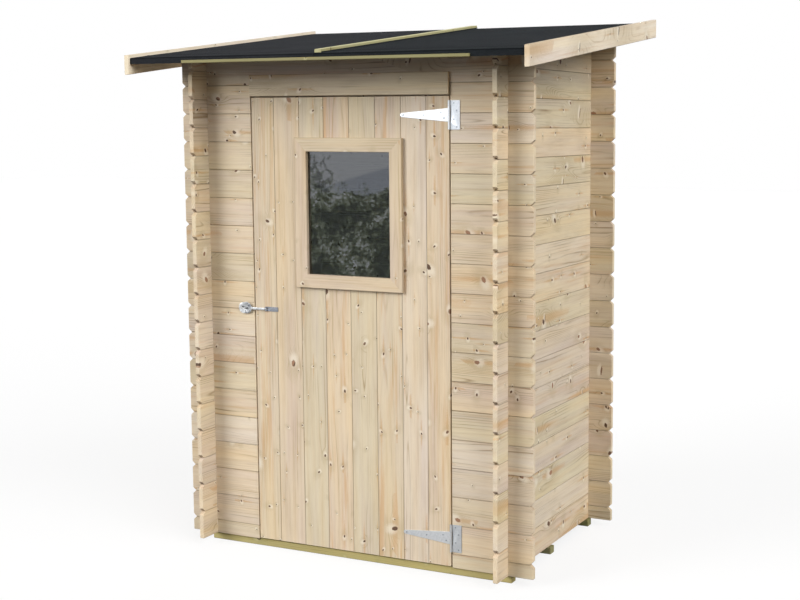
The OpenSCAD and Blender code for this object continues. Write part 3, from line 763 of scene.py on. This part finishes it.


# %% [markdown]
# A knot is a branch cut across. Around it a painted sheen lightens the wood on one side and painted
# shade darkens it on the other, as light falls on the slight dimple round a knot. Now and then resin
# runs along the grain beside it. Each cell of a Voronoi pattern holds one knot or none, and its
# colour channels are the chance numbers that set size and turn.

# %% One layer of knots
def knot_layer(tree, here, ragged, share, cells, radius, stretch, turn, paler):
    """Masks for core, painted sheen on one side, painted shade on the other side and resin, the push
    on the rings, and how dark the core's middle is. Each grows from an outer to an inner limit,
    counted in radii of the knot.
    cells are counted per metre along and across the board, and share of them hold a knot."""
    flat = add(tree, "VectorMath.MULTIPLY", [here, (*cells, 0)])
    cell = add(tree, "TexVoronoi", {"Vector": flat, "Scale": 1, "Randomness": 0.85},
               voronoi_dimensions="2D")
    chance = add(tree, "SeparateColor", [cell.outputs["Color"]])
    there = add(tree, "Math.LESS_THAN", [chance.outputs[0], share])
    size = add(tree, "Math.POWER", [chance.outputs[1], 1.8])
    radius = add(tree, "MapRange", [size, 0, 1, radius[0] * MM, radius[1] * MM])
    away = add(tree, "VectorMath.SUBTRACT", [flat, cell.outputs["Position"]])
    away = add(tree, "VectorMath.MULTIPLY", [away, (1 / cells[0], 1 / cells[1], 0)])
    angle = add(tree, "MapRange", [chance.outputs[2], 0, 1, -turn / 2, turn / 2])
    turned = add(tree, "VectorRotate", {"Vector": away, "Angle": angle}, rotation_type="Z_AXIS")
    sheen_stretch, soft, softer = stretch ** 0.6, "SMOOTHSTEP", "SMOOTHERSTEP"
    # The second mask is a painted sheen on one side of the knot, and the third is painted shade on
    # the other.
    core, pale, knot_shade, resin, push = (
        add(tree, "MapRange", [far, outer, inner], interpolation_type=fall)
        for far, outer, inner, fall in (
            (oval(tree, turned, radius, (stretch, 1, 0), 0.0, ragged), 1.15, 0.75, soft),
            (oval(tree, turned, radius, (sheen_stretch, 1, 0), 1.3 / sheen_stretch, ragged),
             3.0 / stretch ** 0.3, 0.8, soft),
            (oval(tree, turned, radius, (0.5, 0.8, 0), -1.2, ragged), 5.5, 1.0, soft),
            (oval(tree, away, radius, (0.07, 1, 0), 0.0, ragged), 1.8, 0.3, soft),
            (oval(tree, away, radius, (0.42, 1, 0)), 4.2, 0.0, softer),
        ))
    rare = add(tree, "Math.LESS_THAN", [chance.outputs[2], 0.55])
    resin = add(tree, "Math.MULTIPLY", [resin, rare])
    furthest = add(tree, "Math.MULTIPLY", [radius, 1.7])
    push = add(tree, "Math.MULTIPLY", [push, furthest])
    depth = add(tree, "MapRange", [chance.outputs[1], 0.3, 0.9, 0.9, 0.9 - paler])
    return [add(tree, "Math.MULTIPLY", [mask, there])
            for mask in (core, pale, knot_shade, resin, push, depth)]


# %% [markdown]
# One layer makes the few large knots, one the many small ones, and one the spike knots, which are
# branches sawn lengthwise that lie across the board as thin dark strokes. Radii are in millimetres
# and turns in radians.

# %% All knots
KNOT_LAYERS = (
    {"cells": (5.0, 9), "radius": (3.0, 10.0), "stretch": 0.65, "turn": 6.28, "paler": 0.85},
    {"cells": (9, 16), "radius": (1.6, 4.2), "stretch": 0.65, "turn": 6.28, "paler": 0.15},
    {"cells": (2.3, 6.5), "radius": (8.0, 24.0), "stretch": 5.0, "turn": 0.5, "paler": 0.5},
)


def knots(tree, here, shares):
    """The masks of all layers together, each the strongest of its kind."""
    ragged = add(tree, "TexNoise", {"Vector": here, "Scale": 190, "Detail": 2})
    ragged = add(tree, "MapRange", [ragged, 0, 1, 0.6, 1.4])
    layers = [knot_layer(tree, here, ragged, share, **layer)
              for layer, share in zip(KNOT_LAYERS, shares)]
    strongest = layers[0]
    for layer in layers[1:]:
        strongest = [add(tree, "Math.MAXIMUM", [a, b]) for a, b in zip(strongest, layer)]
    return strongest


# %% [markdown]
# The rings need the board's place in its log, which the tone attribute gives by chance. Early wood
# is wide and pale and darkens slowly to the thin late wood at the end of each year, so the fraction
# runs through a ramp that rises gently and drops at once. Years differ too, by a white noise on
# the ring's number.

# %% Year rings
def rings(tree, grain, here, part, bump, ring):
    """Darkness of the ring lines, from 0 to 1: ramp(fraction(out / width)), where out is the
    distance from the log's middle, the slow wander and the knots' bumps together. The middle lies
    up to 70 mm to one side of the board and 20 to 75 mm behind it."""
    middle = add(tree, "CombineXYZ", {
        1: add(tree, "MapRange", [part.outputs[1], 0, 1, -70 * MM, 70 * MM]),
        2: add(tree, "MapRange", [part.outputs[2], 0, 1, 20 * MM, 75 * MM]),
    })
    middle = add(tree, "VectorMath.ADD", [grain, middle])
    middle = add(tree, "VectorMath.MULTIPLY", [middle, (0, 1, 1)])
    out = add(tree, "VectorMath.LENGTH", [middle]).outputs["Value"]
    wander = along_grain(tree, here, (0.9, 5, 5), 3, 0.45)
    wander = add(tree, "MapRange", [wander, 0, 1, -20 * MM, 20 * MM])
    out = add(tree, "Math.ADD", [out, wander])
    out = add(tree, "Math.ADD", [out, bump])
    width = add(tree, "MapRange", [part.outputs[2], 0, 1, 0.7 * ring, 1.6 * ring])
    count = add(tree, "Math.DIVIDE", [out, width])
    phase = add(tree, "Math.FRACT", [count])
    line = add(tree, "ValToRGB", [phase],
               [(0.0, "#000000"), (1.0, "#000000"), (0.4, "#0c0c0c"), (0.74, "#6c6c6c"),
                (0.86, "#ffffff"), (0.94, "#b4b4b4")])
    year = add(tree, "Math.FLOOR", [count])
    season = add(tree, "TexWhiteNoise", {"W": year}, noise_dimensions="1D")
    season = add(tree, "MapRange", [season, 0, 1, 0.35, 1.0])
    return add(tree, "Math.MULTIPLY", [line, season])


# %% [markdown]
# The colour is built up as layers of paint would be: early and late wood, then the board's own
# tint, slow clouds from yellow to lilac grey, streaks and fibres. Real fibres are a few hundredths
# of a millimetre wide. They are drawn nearly a millimetre wide here, so that they show at all.

# %% Colour between the knots
def layers_of_colour(tree, here, own_tint, line, early, late, tints, contrast):
    """Colour of clear wood, its ring lines, and the noises for streaks and fibres."""
    streak = along_grain(tree, here, (2.6, 75, 75), 4, 0.62)
    fibre = along_grain(tree, here, (28, 1100, 1100), 2)
    patch = along_grain(tree, here, (3.2, 16, 16))
    bloom = along_grain(tree, here, (1.3, 14, 14), 3, 0.5)
    strength = add(tree, "MapRange", [patch, 0.46, 0.64, 0.14 * contrast, contrast])
    dark = add(tree, "Math.MULTIPLY", [line, strength])
    colour = add(tree, "Mix.RGBA", {"Factor": dark, 6: linear(early), 7: linear(late)})
    for factor, stops in (
        (own_tint, tints),
        (bloom, [(0.3, "#fffaed"), (0.7, "#f4f1f6"), (0.5, "#fbfaf7")]),
        (streak, [(0.28, "#ece4da"), (0.72, "#ffffff"), (0.42, "#f8f4ee"), (0.52, "#fcfaf6")]),
    ):
        tint = add(tree, "ValToRGB", [factor], stops)
        colour = add(tree, "Mix.RGBA", {"Factor": 1, 6: colour.outputs[2], 7: tint},
                     blend_type="MULTIPLY")
    shade = add(tree, "MapRange", [fibre, 0.25, 0.75, 0.97, 1.07])
    cloud = add(tree, "MapRange", [patch, 0.25, 0.75, 1.06, 0.94])
    shade = add(tree, "Math.MULTIPLY", [shade, cloud])
    colour = add(tree, "VectorMath.MULTIPLY", [colour.outputs[2], shade])
    return colour.outputs[0], dark, streak, fibre


# %% [markdown]
# A board isn't the same all over. Its sawn ends show cut fibres, which look paler on dry wood and
# darker on treated wood. Along its long edges, where the joints lie, it is darkened as painted shade.
# The slanting cuts of a wall board's ends are darkened a little as painted shade, and they are the
# only faces near an end that lean at 45 degrees.

# %% Ends and edges
def edge_masks(tree, grain):
    """Masks for sawn ends, painted shade along the long edges and painted shade on the V cuts, from
    the distances in the reach attribute and the slant of the faces.
    """
    reach = add(tree, "Attribute", attribute_name="reach").outputs["Vector"]
    reach = add(tree, "SeparateXYZ", [reach])
    to_end = add(tree, "Math.MINIMUM", [reach.outputs[0], reach.outputs[1]])
    sawn = add(tree, "MapRange", [to_end, 3.5 * MM, 0.5 * MM])
    across = add(tree, "SeparateXYZ", [grain]).outputs[1]
    across = add(tree, "Math.ABSOLUTE", [across])
    half = add(tree, "Math.MULTIPLY", [reach.outputs[2], 0.5])
    to_side = add(tree, "Math.SUBTRACT", [half, across])
    # Painted shade along the long edges, where the joints lie.
    seam = add(tree, "MapRange", [to_side, 2.4 * MM, 0.6 * MM])
    # Painted shade on the slanting V cuts near a board's ends.
    facing = add(tree, "SeparateXYZ", [add(tree, "TexCoord").outputs["Normal"]])
    facing = add(tree, "Math.ABSOLUTE", [facing.outputs[2]])
    slanted = add(tree, "Math.COMPARE", [facing, math.sqrt(0.5), 0.05])
    corner = add(tree, "Math.ADD", [to_end, to_side])
    corner = add(tree, "Math.LESS_THAN", [corner, end_cut + hair])
    return sawn, seam, add(tree, "Math.MULTIPLY", [slanted, corner])


# %% [markdown]
# One function then makes any softwood. It lays knots with their painted sheen and painted shade,
# resin, ends, and painted shade along the long edges and on the V cuts over the clear wood, each by
# its mask, and lets the rings and fibres stand out a fifth of a millimetre, which is what planed
# spruce does as its soft early wood shrinks. Bare wood is dull, so its gloss is low.

# %% Wood
def wood(name, early, late, tints, knot_colours, ring=5.6 * MM, contrast=1.0,
         shares=(0.46, 0.34, 0.3), bands=0.3, sawn_colour="#f8e6c4"):
    """Softwood from the grain, tone and reach attributes. early and late are the pale and the dark
    part of a ring, tints the colours that boards lean to, and knot_colours those of a knot's
    middle, its rim, its painted sheen, its painted shade and its resin. ring is the usual ring width,
    contrast how dark the lines are, shares how many places hold a knot in each layer, and bands how
    strongly resin-rich bands show."""
    tree, shader, made = new_material(name)
    grain = add(tree, "Attribute", attribute_name="grain").outputs["Vector"]
    tone = add(tree, "Attribute", attribute_name="tone").outputs["Vector"]
    part = add(tree, "SeparateXYZ", [tone])
    here = add(tree, "VectorMath.MULTIPLY_ADD", [tone, (31, 7, 3), grain])
    core, pale, knot_shade, resin, bump, depth = knots(tree, here, shares)
    line = rings(tree, grain, here, part, bump, ring)
    colour, dark, streak, fibre = layers_of_colour(tree, here, part.outputs[0], line, early, late,
                                                   tints, contrast)
    flame = add(tree, "MapRange", [along_grain(tree, here, (2.4, 46, 46), 5, 0.6), 0.53, 0.67])
    rich = add(tree, "MapRange", [part.outputs[2], 0.5, 0.85, 0.1, 1.0])
    flame = add(tree, "Math.MULTIPLY", [flame, rich])
    sawn, seam, cut_shade = edge_masks(tree, grain)
    heart = add(tree, "MapRange", [core, 0.4, 1.0])
    heart = add(tree, "Math.MULTIPLY", [heart, depth])
    # A knot's third and fourth colours are its painted sheen and its painted shade.
    heart_colour, rim_colour, knot_sheen_colour, knot_shade_colour, resin_colour = knot_colours
    for mask, most, code in ((flame, bands, resin_colour), (resin, 0.5, resin_colour),
                             (knot_shade, 0.3, knot_shade_colour), (pale, 0.48, knot_sheen_colour),
                             (core, 0.9, rim_colour), (sawn, 0.2, sawn_colour),
                             # Painted shade on the V cuts and along the joints.
                             (cut_shade, 0.2, rim_colour), (seam, 0.28, heart_colour),
                             (heart, 1.0, heart_colour)):
        share = add(tree, "Math.MULTIPLY", [mask, most])
        colour = add(tree, "Mix.RGBA", {"Factor": share, 6: colour, 7: linear(code)})
        colour = colour.outputs[2]
    height = add(tree, "Math.MULTIPLY_ADD", [dark, 0.5, fibre])
    height = add(tree, "Math.MULTIPLY_ADD", [core, 0.6, height])  # knots are harder, and stand out
    plug(shader, {
        "Base Color": colour,
        "Roughness": add(tree, "MapRange", [streak, 0.2, 0.8, 0.52, 0.68]),
        "Normal": add(tree, "Bump", {"Height": height, "Distance": 0.2 * MM, "Strength": 0.5}),
        "Specular IOR Level": 0.3,
    })
    return made


# %% [markdown]
# No two boards of a kit come from the same tree, so each leans a little to yellow, olive, grey or
# lilac. Bearers and battens are pressure-treated, which turns pine olive green. The battens at the
# eaves are darker, and the batten on the roof is paler sapwood. The middle and back bearers take the
# darker wood as painted shade, for they lie in shadow under the shed. The roof boards are dark brown
# as painted shade for the dark underside of the eaves. Only colours and shares change, so all share
# one recipe.

# %% Kinds of wood
# In knot_colours the third colour is a knot's painted sheen and the fourth its painted shade.
spruce = {
    "knot_colours": ("#4b382a", "#96694a", "#f4ecdc", "#ad9a74", "#c4935c"),
    "tints": [(0.0, "#f9f7ea"), (1.0, "#ffffff"), (0.2, "#fcf6ee"), (0.4, "#f3f4eb"),
              (0.6, "#faf4ec"), (0.8, "#f3f1f2")],
}
treated = {
    "knot_colours": ("#4f4424", "#6e6136", "#c9c294", "#8f8a58", "#9a8a4c"),
    "tints": [(0, "#ffffff"), (1, "#eceeda"), (0.5, "#fff4d4")],
    "shares": (0.4, 0.34, 0), "sawn_colour": "#8a8354",
}
painted_shade_roof_spruce = {
    "knot_colours": ("#33271c", "#5c4530", "#a8977c", "#7a6a50", "#8f6a3e"),
    "tints": spruce["tints"], "sawn_colour": "#a8977c",
}
materials = {
    "raw_wood": wood("planed_spruce", "#e0d4c2", "#8d7350", **spruce),
    "door_wood": wood("planed_spruce_door", "#dfd2c1", "#a0845e", ring=4.6 * MM, contrast=0.85,
                      shares=(0.42, 0.48, 0), bands=0.5, **spruce),
    "treated_wood": wood("treated_pine", "#b7b38e", "#857f50", contrast=0.9, **treated),
}
# Painted shade: this darker wood also goes on the middle and back bearers, which lie in shadow under
# the shed.
dark_treated_and_painted_shade_wood = wood("treated_battens_and_painted_shade", "#8c8b66", "#6c6a45", **treated)
seam_wood = wood("treated_sapwood", "#c2c5a0", "#9c9e70", contrast=0.6, **treated)
barge_wood = wood("planed_spruce_pale", "#f3ece3", "#bfa985", **spruce)
trim_wood = wood("planed_spruce_clear", "#dbcebb", "#9c805a", contrast=0.8, shares=(0, 0.42, 0),
                 bands=0.2, **spruce)
# Painted shade: the roof boards are dark brown for the shade under the eaves.
painted_shade_roof_wood = wood("painted_shade_roof_spruce", "#6c5c49", "#4f4132", **painted_shade_roof_spruce)

# %% [markdown]
# ### Felt
# Roofing felt is bitumen with fine slate grains pressed in, so it is nearly matt and speckled. Real
# grains measure half a millimetre to one. They are drawn at the coarse end, because finer ones
# would be lost in the view.

# %% Mineral felt
def mineral_felt(name):
    """Dark base with light and dark grains of 1.1 mm, and slow patches of dust. Along its folds and
    creases it is darkened as painted shade."""
    tree, shader, made = new_material(name)
    here = add(tree, "TexCoord").outputs["Object"]
    tone = add(tree, "Attribute", attribute_name="tone").outputs["Vector"]
    tone = add(tree, "SeparateXYZ", [tone])
    grains = add(tree, "TexVoronoi", {"Vector": here, "Scale": 900})
    grain = add(tree, "SeparateColor", [grains.outputs["Color"]])
    dust = add(tree, "TexNoise", {"Vector": here, "Scale": 5, "Detail": 5, "Roughness": 0.6})
    # tone sets the base colour. The left half's higher tone makes it lighter, as painted light.
    base = add(tree, "Mix.RGBA",
               {"Factor": tone.outputs[0], 6: linear("#1e2224"), 7: linear("#2b2c2f")})
    speck = add(tree, "MapRange", [grain.outputs[0], 0, 1, 0.55, 1.5])
    cloud = add(tree, "MapRange", [dust, 0.3, 0.7, 0.85, 1.15])
    amount = add(tree, "Math.MULTIPLY", [speck, cloud])
    # Painted shade along the folds and creases.
    fold = add(tree, "Attribute", attribute_name="fold").outputs["Vector"]
    fold = add(tree, "VectorMath.DOT_PRODUCT", [fold, (0.7, 0.35, 0)])
    painted_shade_factor = add(tree, "Math.SUBTRACT", [1.0, fold.outputs["Value"]])
    amount = add(tree, "Math.MULTIPLY", [amount, painted_shade_factor])
    height = grain.outputs[1]
    plug(shader, {
        "Base Color": add(tree, "VectorMath.MULTIPLY", [base.outputs[2], amount]),
        "Roughness": add(tree, "MapRange", [grain.outputs[2], 0, 1, 0.7, 0.95]),
        "Normal": add(tree, "Bump", {"Height": height, "Distance": 0.4 * MM, "Strength": 0.6}),
        "Specular IOR Level": 0.01,
    })
    return made


# %% [markdown]
# ### Steel
# Hot-dip zinc freezes on the steel in crystals of some millimetres that each reflect a little
# differently, which gives galvanised sheet its flowery look. Screws are zinc-plated instead, with
# finer crystals. The hasp, its plate and the staple take darker copies of the zinc, the hasp and
# staple with dark blotches, as painted shade for the dim reflections they show. All are one recipe
# with other colours and another crystal size.

# %% Galvanised steel
def zinc(name, bright, dull, crystal):
    """Metal with a crystal pattern in its colour and roughness, and soft dull clouds."""
    tree, shader, made = new_material(name)
    here = add(tree, "TexCoord").outputs["Object"]
    cells = add(tree, "TexVoronoi", {"Vector": here, "Scale": 1 / crystal})
    cell = add(tree, "SeparateColor", [cells.outputs["Color"]])
    cloud = add(tree, "TexNoise", {"Vector": here, "Scale": 40, "Detail": 4})
    blend = add(tree, "Math.MULTIPLY_ADD", [cell.outputs[0], 0.5, cloud])
    share = add(tree, "MapRange", [blend, 0.45, 1.05])
    colour = add(tree, "Mix.RGBA", {"Factor": share, 6: linear(bright), 7: linear(dull)})
    plug(shader, {
        "Base Color": colour.outputs[2],
        "Roughness": add(tree, "MapRange", [share, 0, 1, 0.34, 0.44]),
        "Normal": add(tree, "Bump", {"Height": share, "Distance": 0.1 * MM, "Strength": 0.08}),
        "Metallic": 1.0,
    })
    return made


# %% [markdown]
# ### Glass
# Float glass needs few tricks: it is clear and almost perfectly flat, and what is seen in it are
# reflections over a dark room. Here it is tinted grey as painted shade, which keeps the room behind
# it dark. Its faint waves bend the reflections slightly, and a clear coat makes them a little
# stronger.

# %% Glass
def pane(name):
    """Float glass tinted grey as painted shade for the dark room behind it, with the faintest
    unevenness in its surface.
    """
    tree, shader, made = new_material(name)
    here = add(tree, "TexCoord").outputs["Object"]
    wave = add(tree, "TexNoise", {"Vector": here, "Scale": 6, "Detail": 1})
    plug(shader, {
        # Painted shade: the grey tint darkens the room seen through the pane.
        "Base Color": linear("#8f9896"),
        "Normal": add(tree, "Bump", {"Height": wave, "Distance": 0.4 * MM, "Strength": 0.3}),
        "Roughness": 0.0,
        "IOR": 1.5,
        "Transmission Weight": 1.0,
        "Coat Weight": 1.0,
        "Coat Roughness": 0.0,
    })
    return made


materials["roofing_felt"] = mineral_felt("mineral_felt")
materials["galvanised_steel"] = zinc("galvanised_steel", "#c7cace", "#b9bdc1", 5 * MM)
materials["window_glass"] = pane("float_glass")
screw_zinc = zinc("zinc_plated_screws", "#9fa4a9", "#868c93", 2 * MM)
# Painted shade: the hasp's plate takes darker zinc, and the hasp and staple darker blotches, for the
# dim reflections they show.
darker_zinc_as_painted_shade = zinc("zinc_darkened_as_painted_shade", "#94979e", "#7b7e86", 4 * MM)
zinc_blotched_as_painted_shade = zinc("zinc_blotched_as_painted_shade", "#d2d4d6", "#5f6166", 9 * MM)

# %% [markdown]
# ## Finishes on pieces
# Each piece takes the material of its slot, unless its name, or its name without the last word, is
# listed here. The pane is a imported solid that no piece replaces, so it gets its glass directly.

# %% Give each piece its finish
# The middle and back runners take the darker treated wood as painted shade.
special = {
    # Hasp, plate and staple take zinc darkened as painted shade.
    "screws": screw_zinc, "hasp_base": darker_zinc_as_painted_shade, "hasp": zinc_blotched_as_painted_shade, "staple": zinc_blotched_as_painted_shade,
    "seam": seam_wood, "barge": barge_wood, "deck": painted_shade_roof_wood, "trim": trim_wood,
    "felt_batten": dark_treated_and_painted_shade_wood, "runner_middle": dark_treated_and_painted_shade_wood, "runner_back": dark_treated_and_painted_shade_wood,
}
for name, slot in finish.items():
    chosen = special.get(name) or special.get(name.rsplit("_", 1)[0], materials[slot])
    bpy.data.objects[name].data.materials.append(chosen)
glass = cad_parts["window_glass"]
glass.data.materials.clear()
glass.data.materials.append(materials["window_glass"])
print(len(finish), "pieces finished")

# %% [markdown]
# ## Studio
# The floor looks white to the camera and to glass, and pale in steel, but it throws almost no light
# back at the shed, which would otherwise glow from below. The shed's shadow stays on it.

# %% Floor
def sheet(name, half_x, half_y, half_z):
    """A flat sheet with a material of its own. Returns the object, the node tree and the shader."""
    x, y, z = half_x, half_y, half_z
    mesh = bpy.data.meshes.new(name)
    mesh.from_pydata([(-x, -y, -z), (x, -y, -z), (x, y, z), (-x, y, z)], [], [(0, 1, 2, 3)])
    tree, shader, made = new_material(name)
    mesh.materials.append(made)
    return into_scene(name, mesh), tree, shader


floor, tree, shader = sheet("studio_floor", 30, 30, 0)
rays = add(tree, "LightPath")
seen = add(tree, "Math.MAXIMUM", [rays.outputs["Is Camera Ray"], rays.outputs["Is Transmission Ray"]])
pale = add(tree, "MapRange", [rays.outputs["Is Glossy Ray"], 0, 1, 0.02, 0.52])
pale = add(tree, "Math.MULTIPLY_ADD", [seen, 0.86, pale])
plug(shader, {"Base Color": pale, "Roughness": 0.9})
white = add(tree, "Math.MULTIPLY", [seen, 0.8])
glow = add(tree, "Emission", {"Color": (1, 1, 1, 1), "Strength": 1.0})
mixed = add(tree, "MixShader", [white, shader, glow])
plug(tree.nodes["Material Output"], {"Surface": mixed})

# %% [markdown]
# The room round the shed is white where the camera, gloss or glass look at it, and dim grey as a
# source of light. So shadows keep some depth without the background turning grey.

# %% World
world = bpy.data.worlds.new("studio")
bpy.context.scene.world = world
world.use_nodes = True
tree = world.node_tree
tree.nodes.clear()
rays = add(tree, "LightPath")
seen = add(tree, "Math.MAXIMUM", [rays.outputs["Is Camera Ray"], rays.outputs["Is Glossy Ray"]])
seen = add(tree, "Math.MAXIMUM", [seen, rays.outputs["Is Transmission Ray"]])
level = add(tree, "MapRange", [seen, 0, 1, 0.3, 1.0])
room = add(tree, "Background", [(1, 1, 1, 1), level])
add(tree, "OutputWorld", [room])

# %% [markdown]
# The main light stands at the front left, wide and soft like the sun through thin cloud. A second
# wide one at the right keeps the side wall readable. A level one from behind does the same for the
# back without reaching the roof.

# %% Lamps
def light(name, at, energy, width):
    """A distant lamp that shines from a place towards the origin. width is its size in degrees."""
    data = bpy.data.lights.new(name, "SUN")
    data.energy, data.angle = energy, math.radians(width)
    made = into_scene(name, data)
    made.location = at
    made.rotation_euler = (-Vector(at)).to_track_quat("-Z", "Y").to_euler()


light("key_light", (-5.0, -6.0, 3.1), 2.7, 38)
light("side_fill", (5.0, -1.8, 3.2), 2.8, 50)
light("back_fill", (-2.0, 6.0, 0.3), 1.9, 12)

# %% [markdown]
# A window pane shows mostly what stands opposite. An upright card, seen by reflections alone, gives
# it a garden to mirror without any real scenery.

# %% Reflection card
card, tree, shader = sheet("reflection_card", 3, 0, 2)
card.location = (-3.4, -8.0, 1.2)
card.rotation_euler = (0, 0, math.radians(-24))
card.visible_camera = card.visible_diffuse = card.visible_transmission = False
card.visible_shadow = card.visible_volume_scatter = False

# %% [markdown]
# On the card a calm sky stands over a hill line. Below it are ragged bushes, which are noise with
# spots as large as leaves, cut off along a ragged top. A few twigs reach into the sky, where fine
# noise passes a limit that rises towards one side.

# %% Garden on the card
spot = add(tree, "TexCoord").outputs["Object"]
height = add(tree, "SeparateXYZ", [spot]).outputs[2]
ragged = add(tree, "TexNoise", {"Vector": spot, "Scale": 5, "Detail": 10, "Roughness": 0.75})
ragged = add(tree, "MapRange", [ragged, 0, 1, -0.4, 0.4])
tops = add(tree, "Math.ADD", [height, ragged])
open_sky = add(tree, "MapRange", [tops, -0.16, -0.1], interpolation_type="SMOOTHSTEP")
lean = add(tree, "VectorMath.DOT_PRODUCT", [spot, (1, 0, 0.8)])
sparse = add(tree, "MapRange", [lean.outputs["Value"], -1.4, -0.85, 0.38, 0.7])
twigs = add(tree, "TexNoise", {"Vector": spot, "Scale": 17, "Detail": 5, "Roughness": 0.7})
twigs = add(tree, "Math.SUBTRACT", [twigs, sparse])
between = add(tree, "MapRange", [twigs, 0.0, 0.05, 1.0, 0.3])
open_sky = add(tree, "Math.MULTIPLY", [open_sky, between])
slope = add(tree, "VectorMath.DOT_PRODUCT", [spot, (-0.31, 0, 1)])
hill = add(tree, "MapRange", [slope.outputs["Value"], 0.29, 0.32])
mottle = add(tree, "TexNoise", {"Vector": spot, "Scale": 4, "Detail": 9, "Roughness": 0.74})
leaves = add(tree, "TexVoronoi", {"Vector": spot, "Scale": 42})
leaf = add(tree, "SeparateColor", [leaves.outputs["Color"]])
mottle = add(tree, "Math.MULTIPLY_ADD", [leaf.outputs[0], 0.2, mottle])
clumps = add(tree, "TexNoise", {"Vector": spot, "Scale": 3.4, "Detail": 1})
clumps = add(tree, "MapRange", [clumps, 0.36, 0.64, -0.1, 0.08])
mottle = add(tree, "Math.ADD", [mottle, clumps])
bushes = add(tree, "ValToRGB", [mottle],
             [(0.5, "#2a2c23"), (0.77, "#e6e8ee"), (0.6, "#5d6549"), (0.67, "#9ea58f")])
sky = add(tree, "Mix.RGBA", {"Factor": hill, 6: linear("#c2c8d6"), 7: linear("#e6e9f0")})
shown = add(tree, "Mix.RGBA", {"Factor": open_sky, 6: bushes, 7: sky.outputs[2]})
glow = add(tree, "Emission", {"Color": shown.outputs[2], "Strength": 2.2})
plug(tree.nodes["Material Output"], {"Surface": glow})

# %% [markdown]
# The camera stands at head height in front of the right corner. Its lens is long enough to keep the
# uprights nearly parallel, and a small shift frames the shed without tilting the view further.

# %% Camera
camera_data = bpy.data.cameras.new("camera")
camera_data.sensor_width = 36
camera_data.lens = 60.42
camera_data.shift_x, camera_data.shift_y = -0.1343, -0.0272
camera = into_scene("camera", camera_data)
camera.location = (2.7096, -4.8982, 1.7191)
camera.rotation_euler = (math.radians(90 - 6.48), 0, math.radians(24.52))
bpy.context.scene.camera = camera
bpy.context.scene.view_settings.view_transform = "Standard"
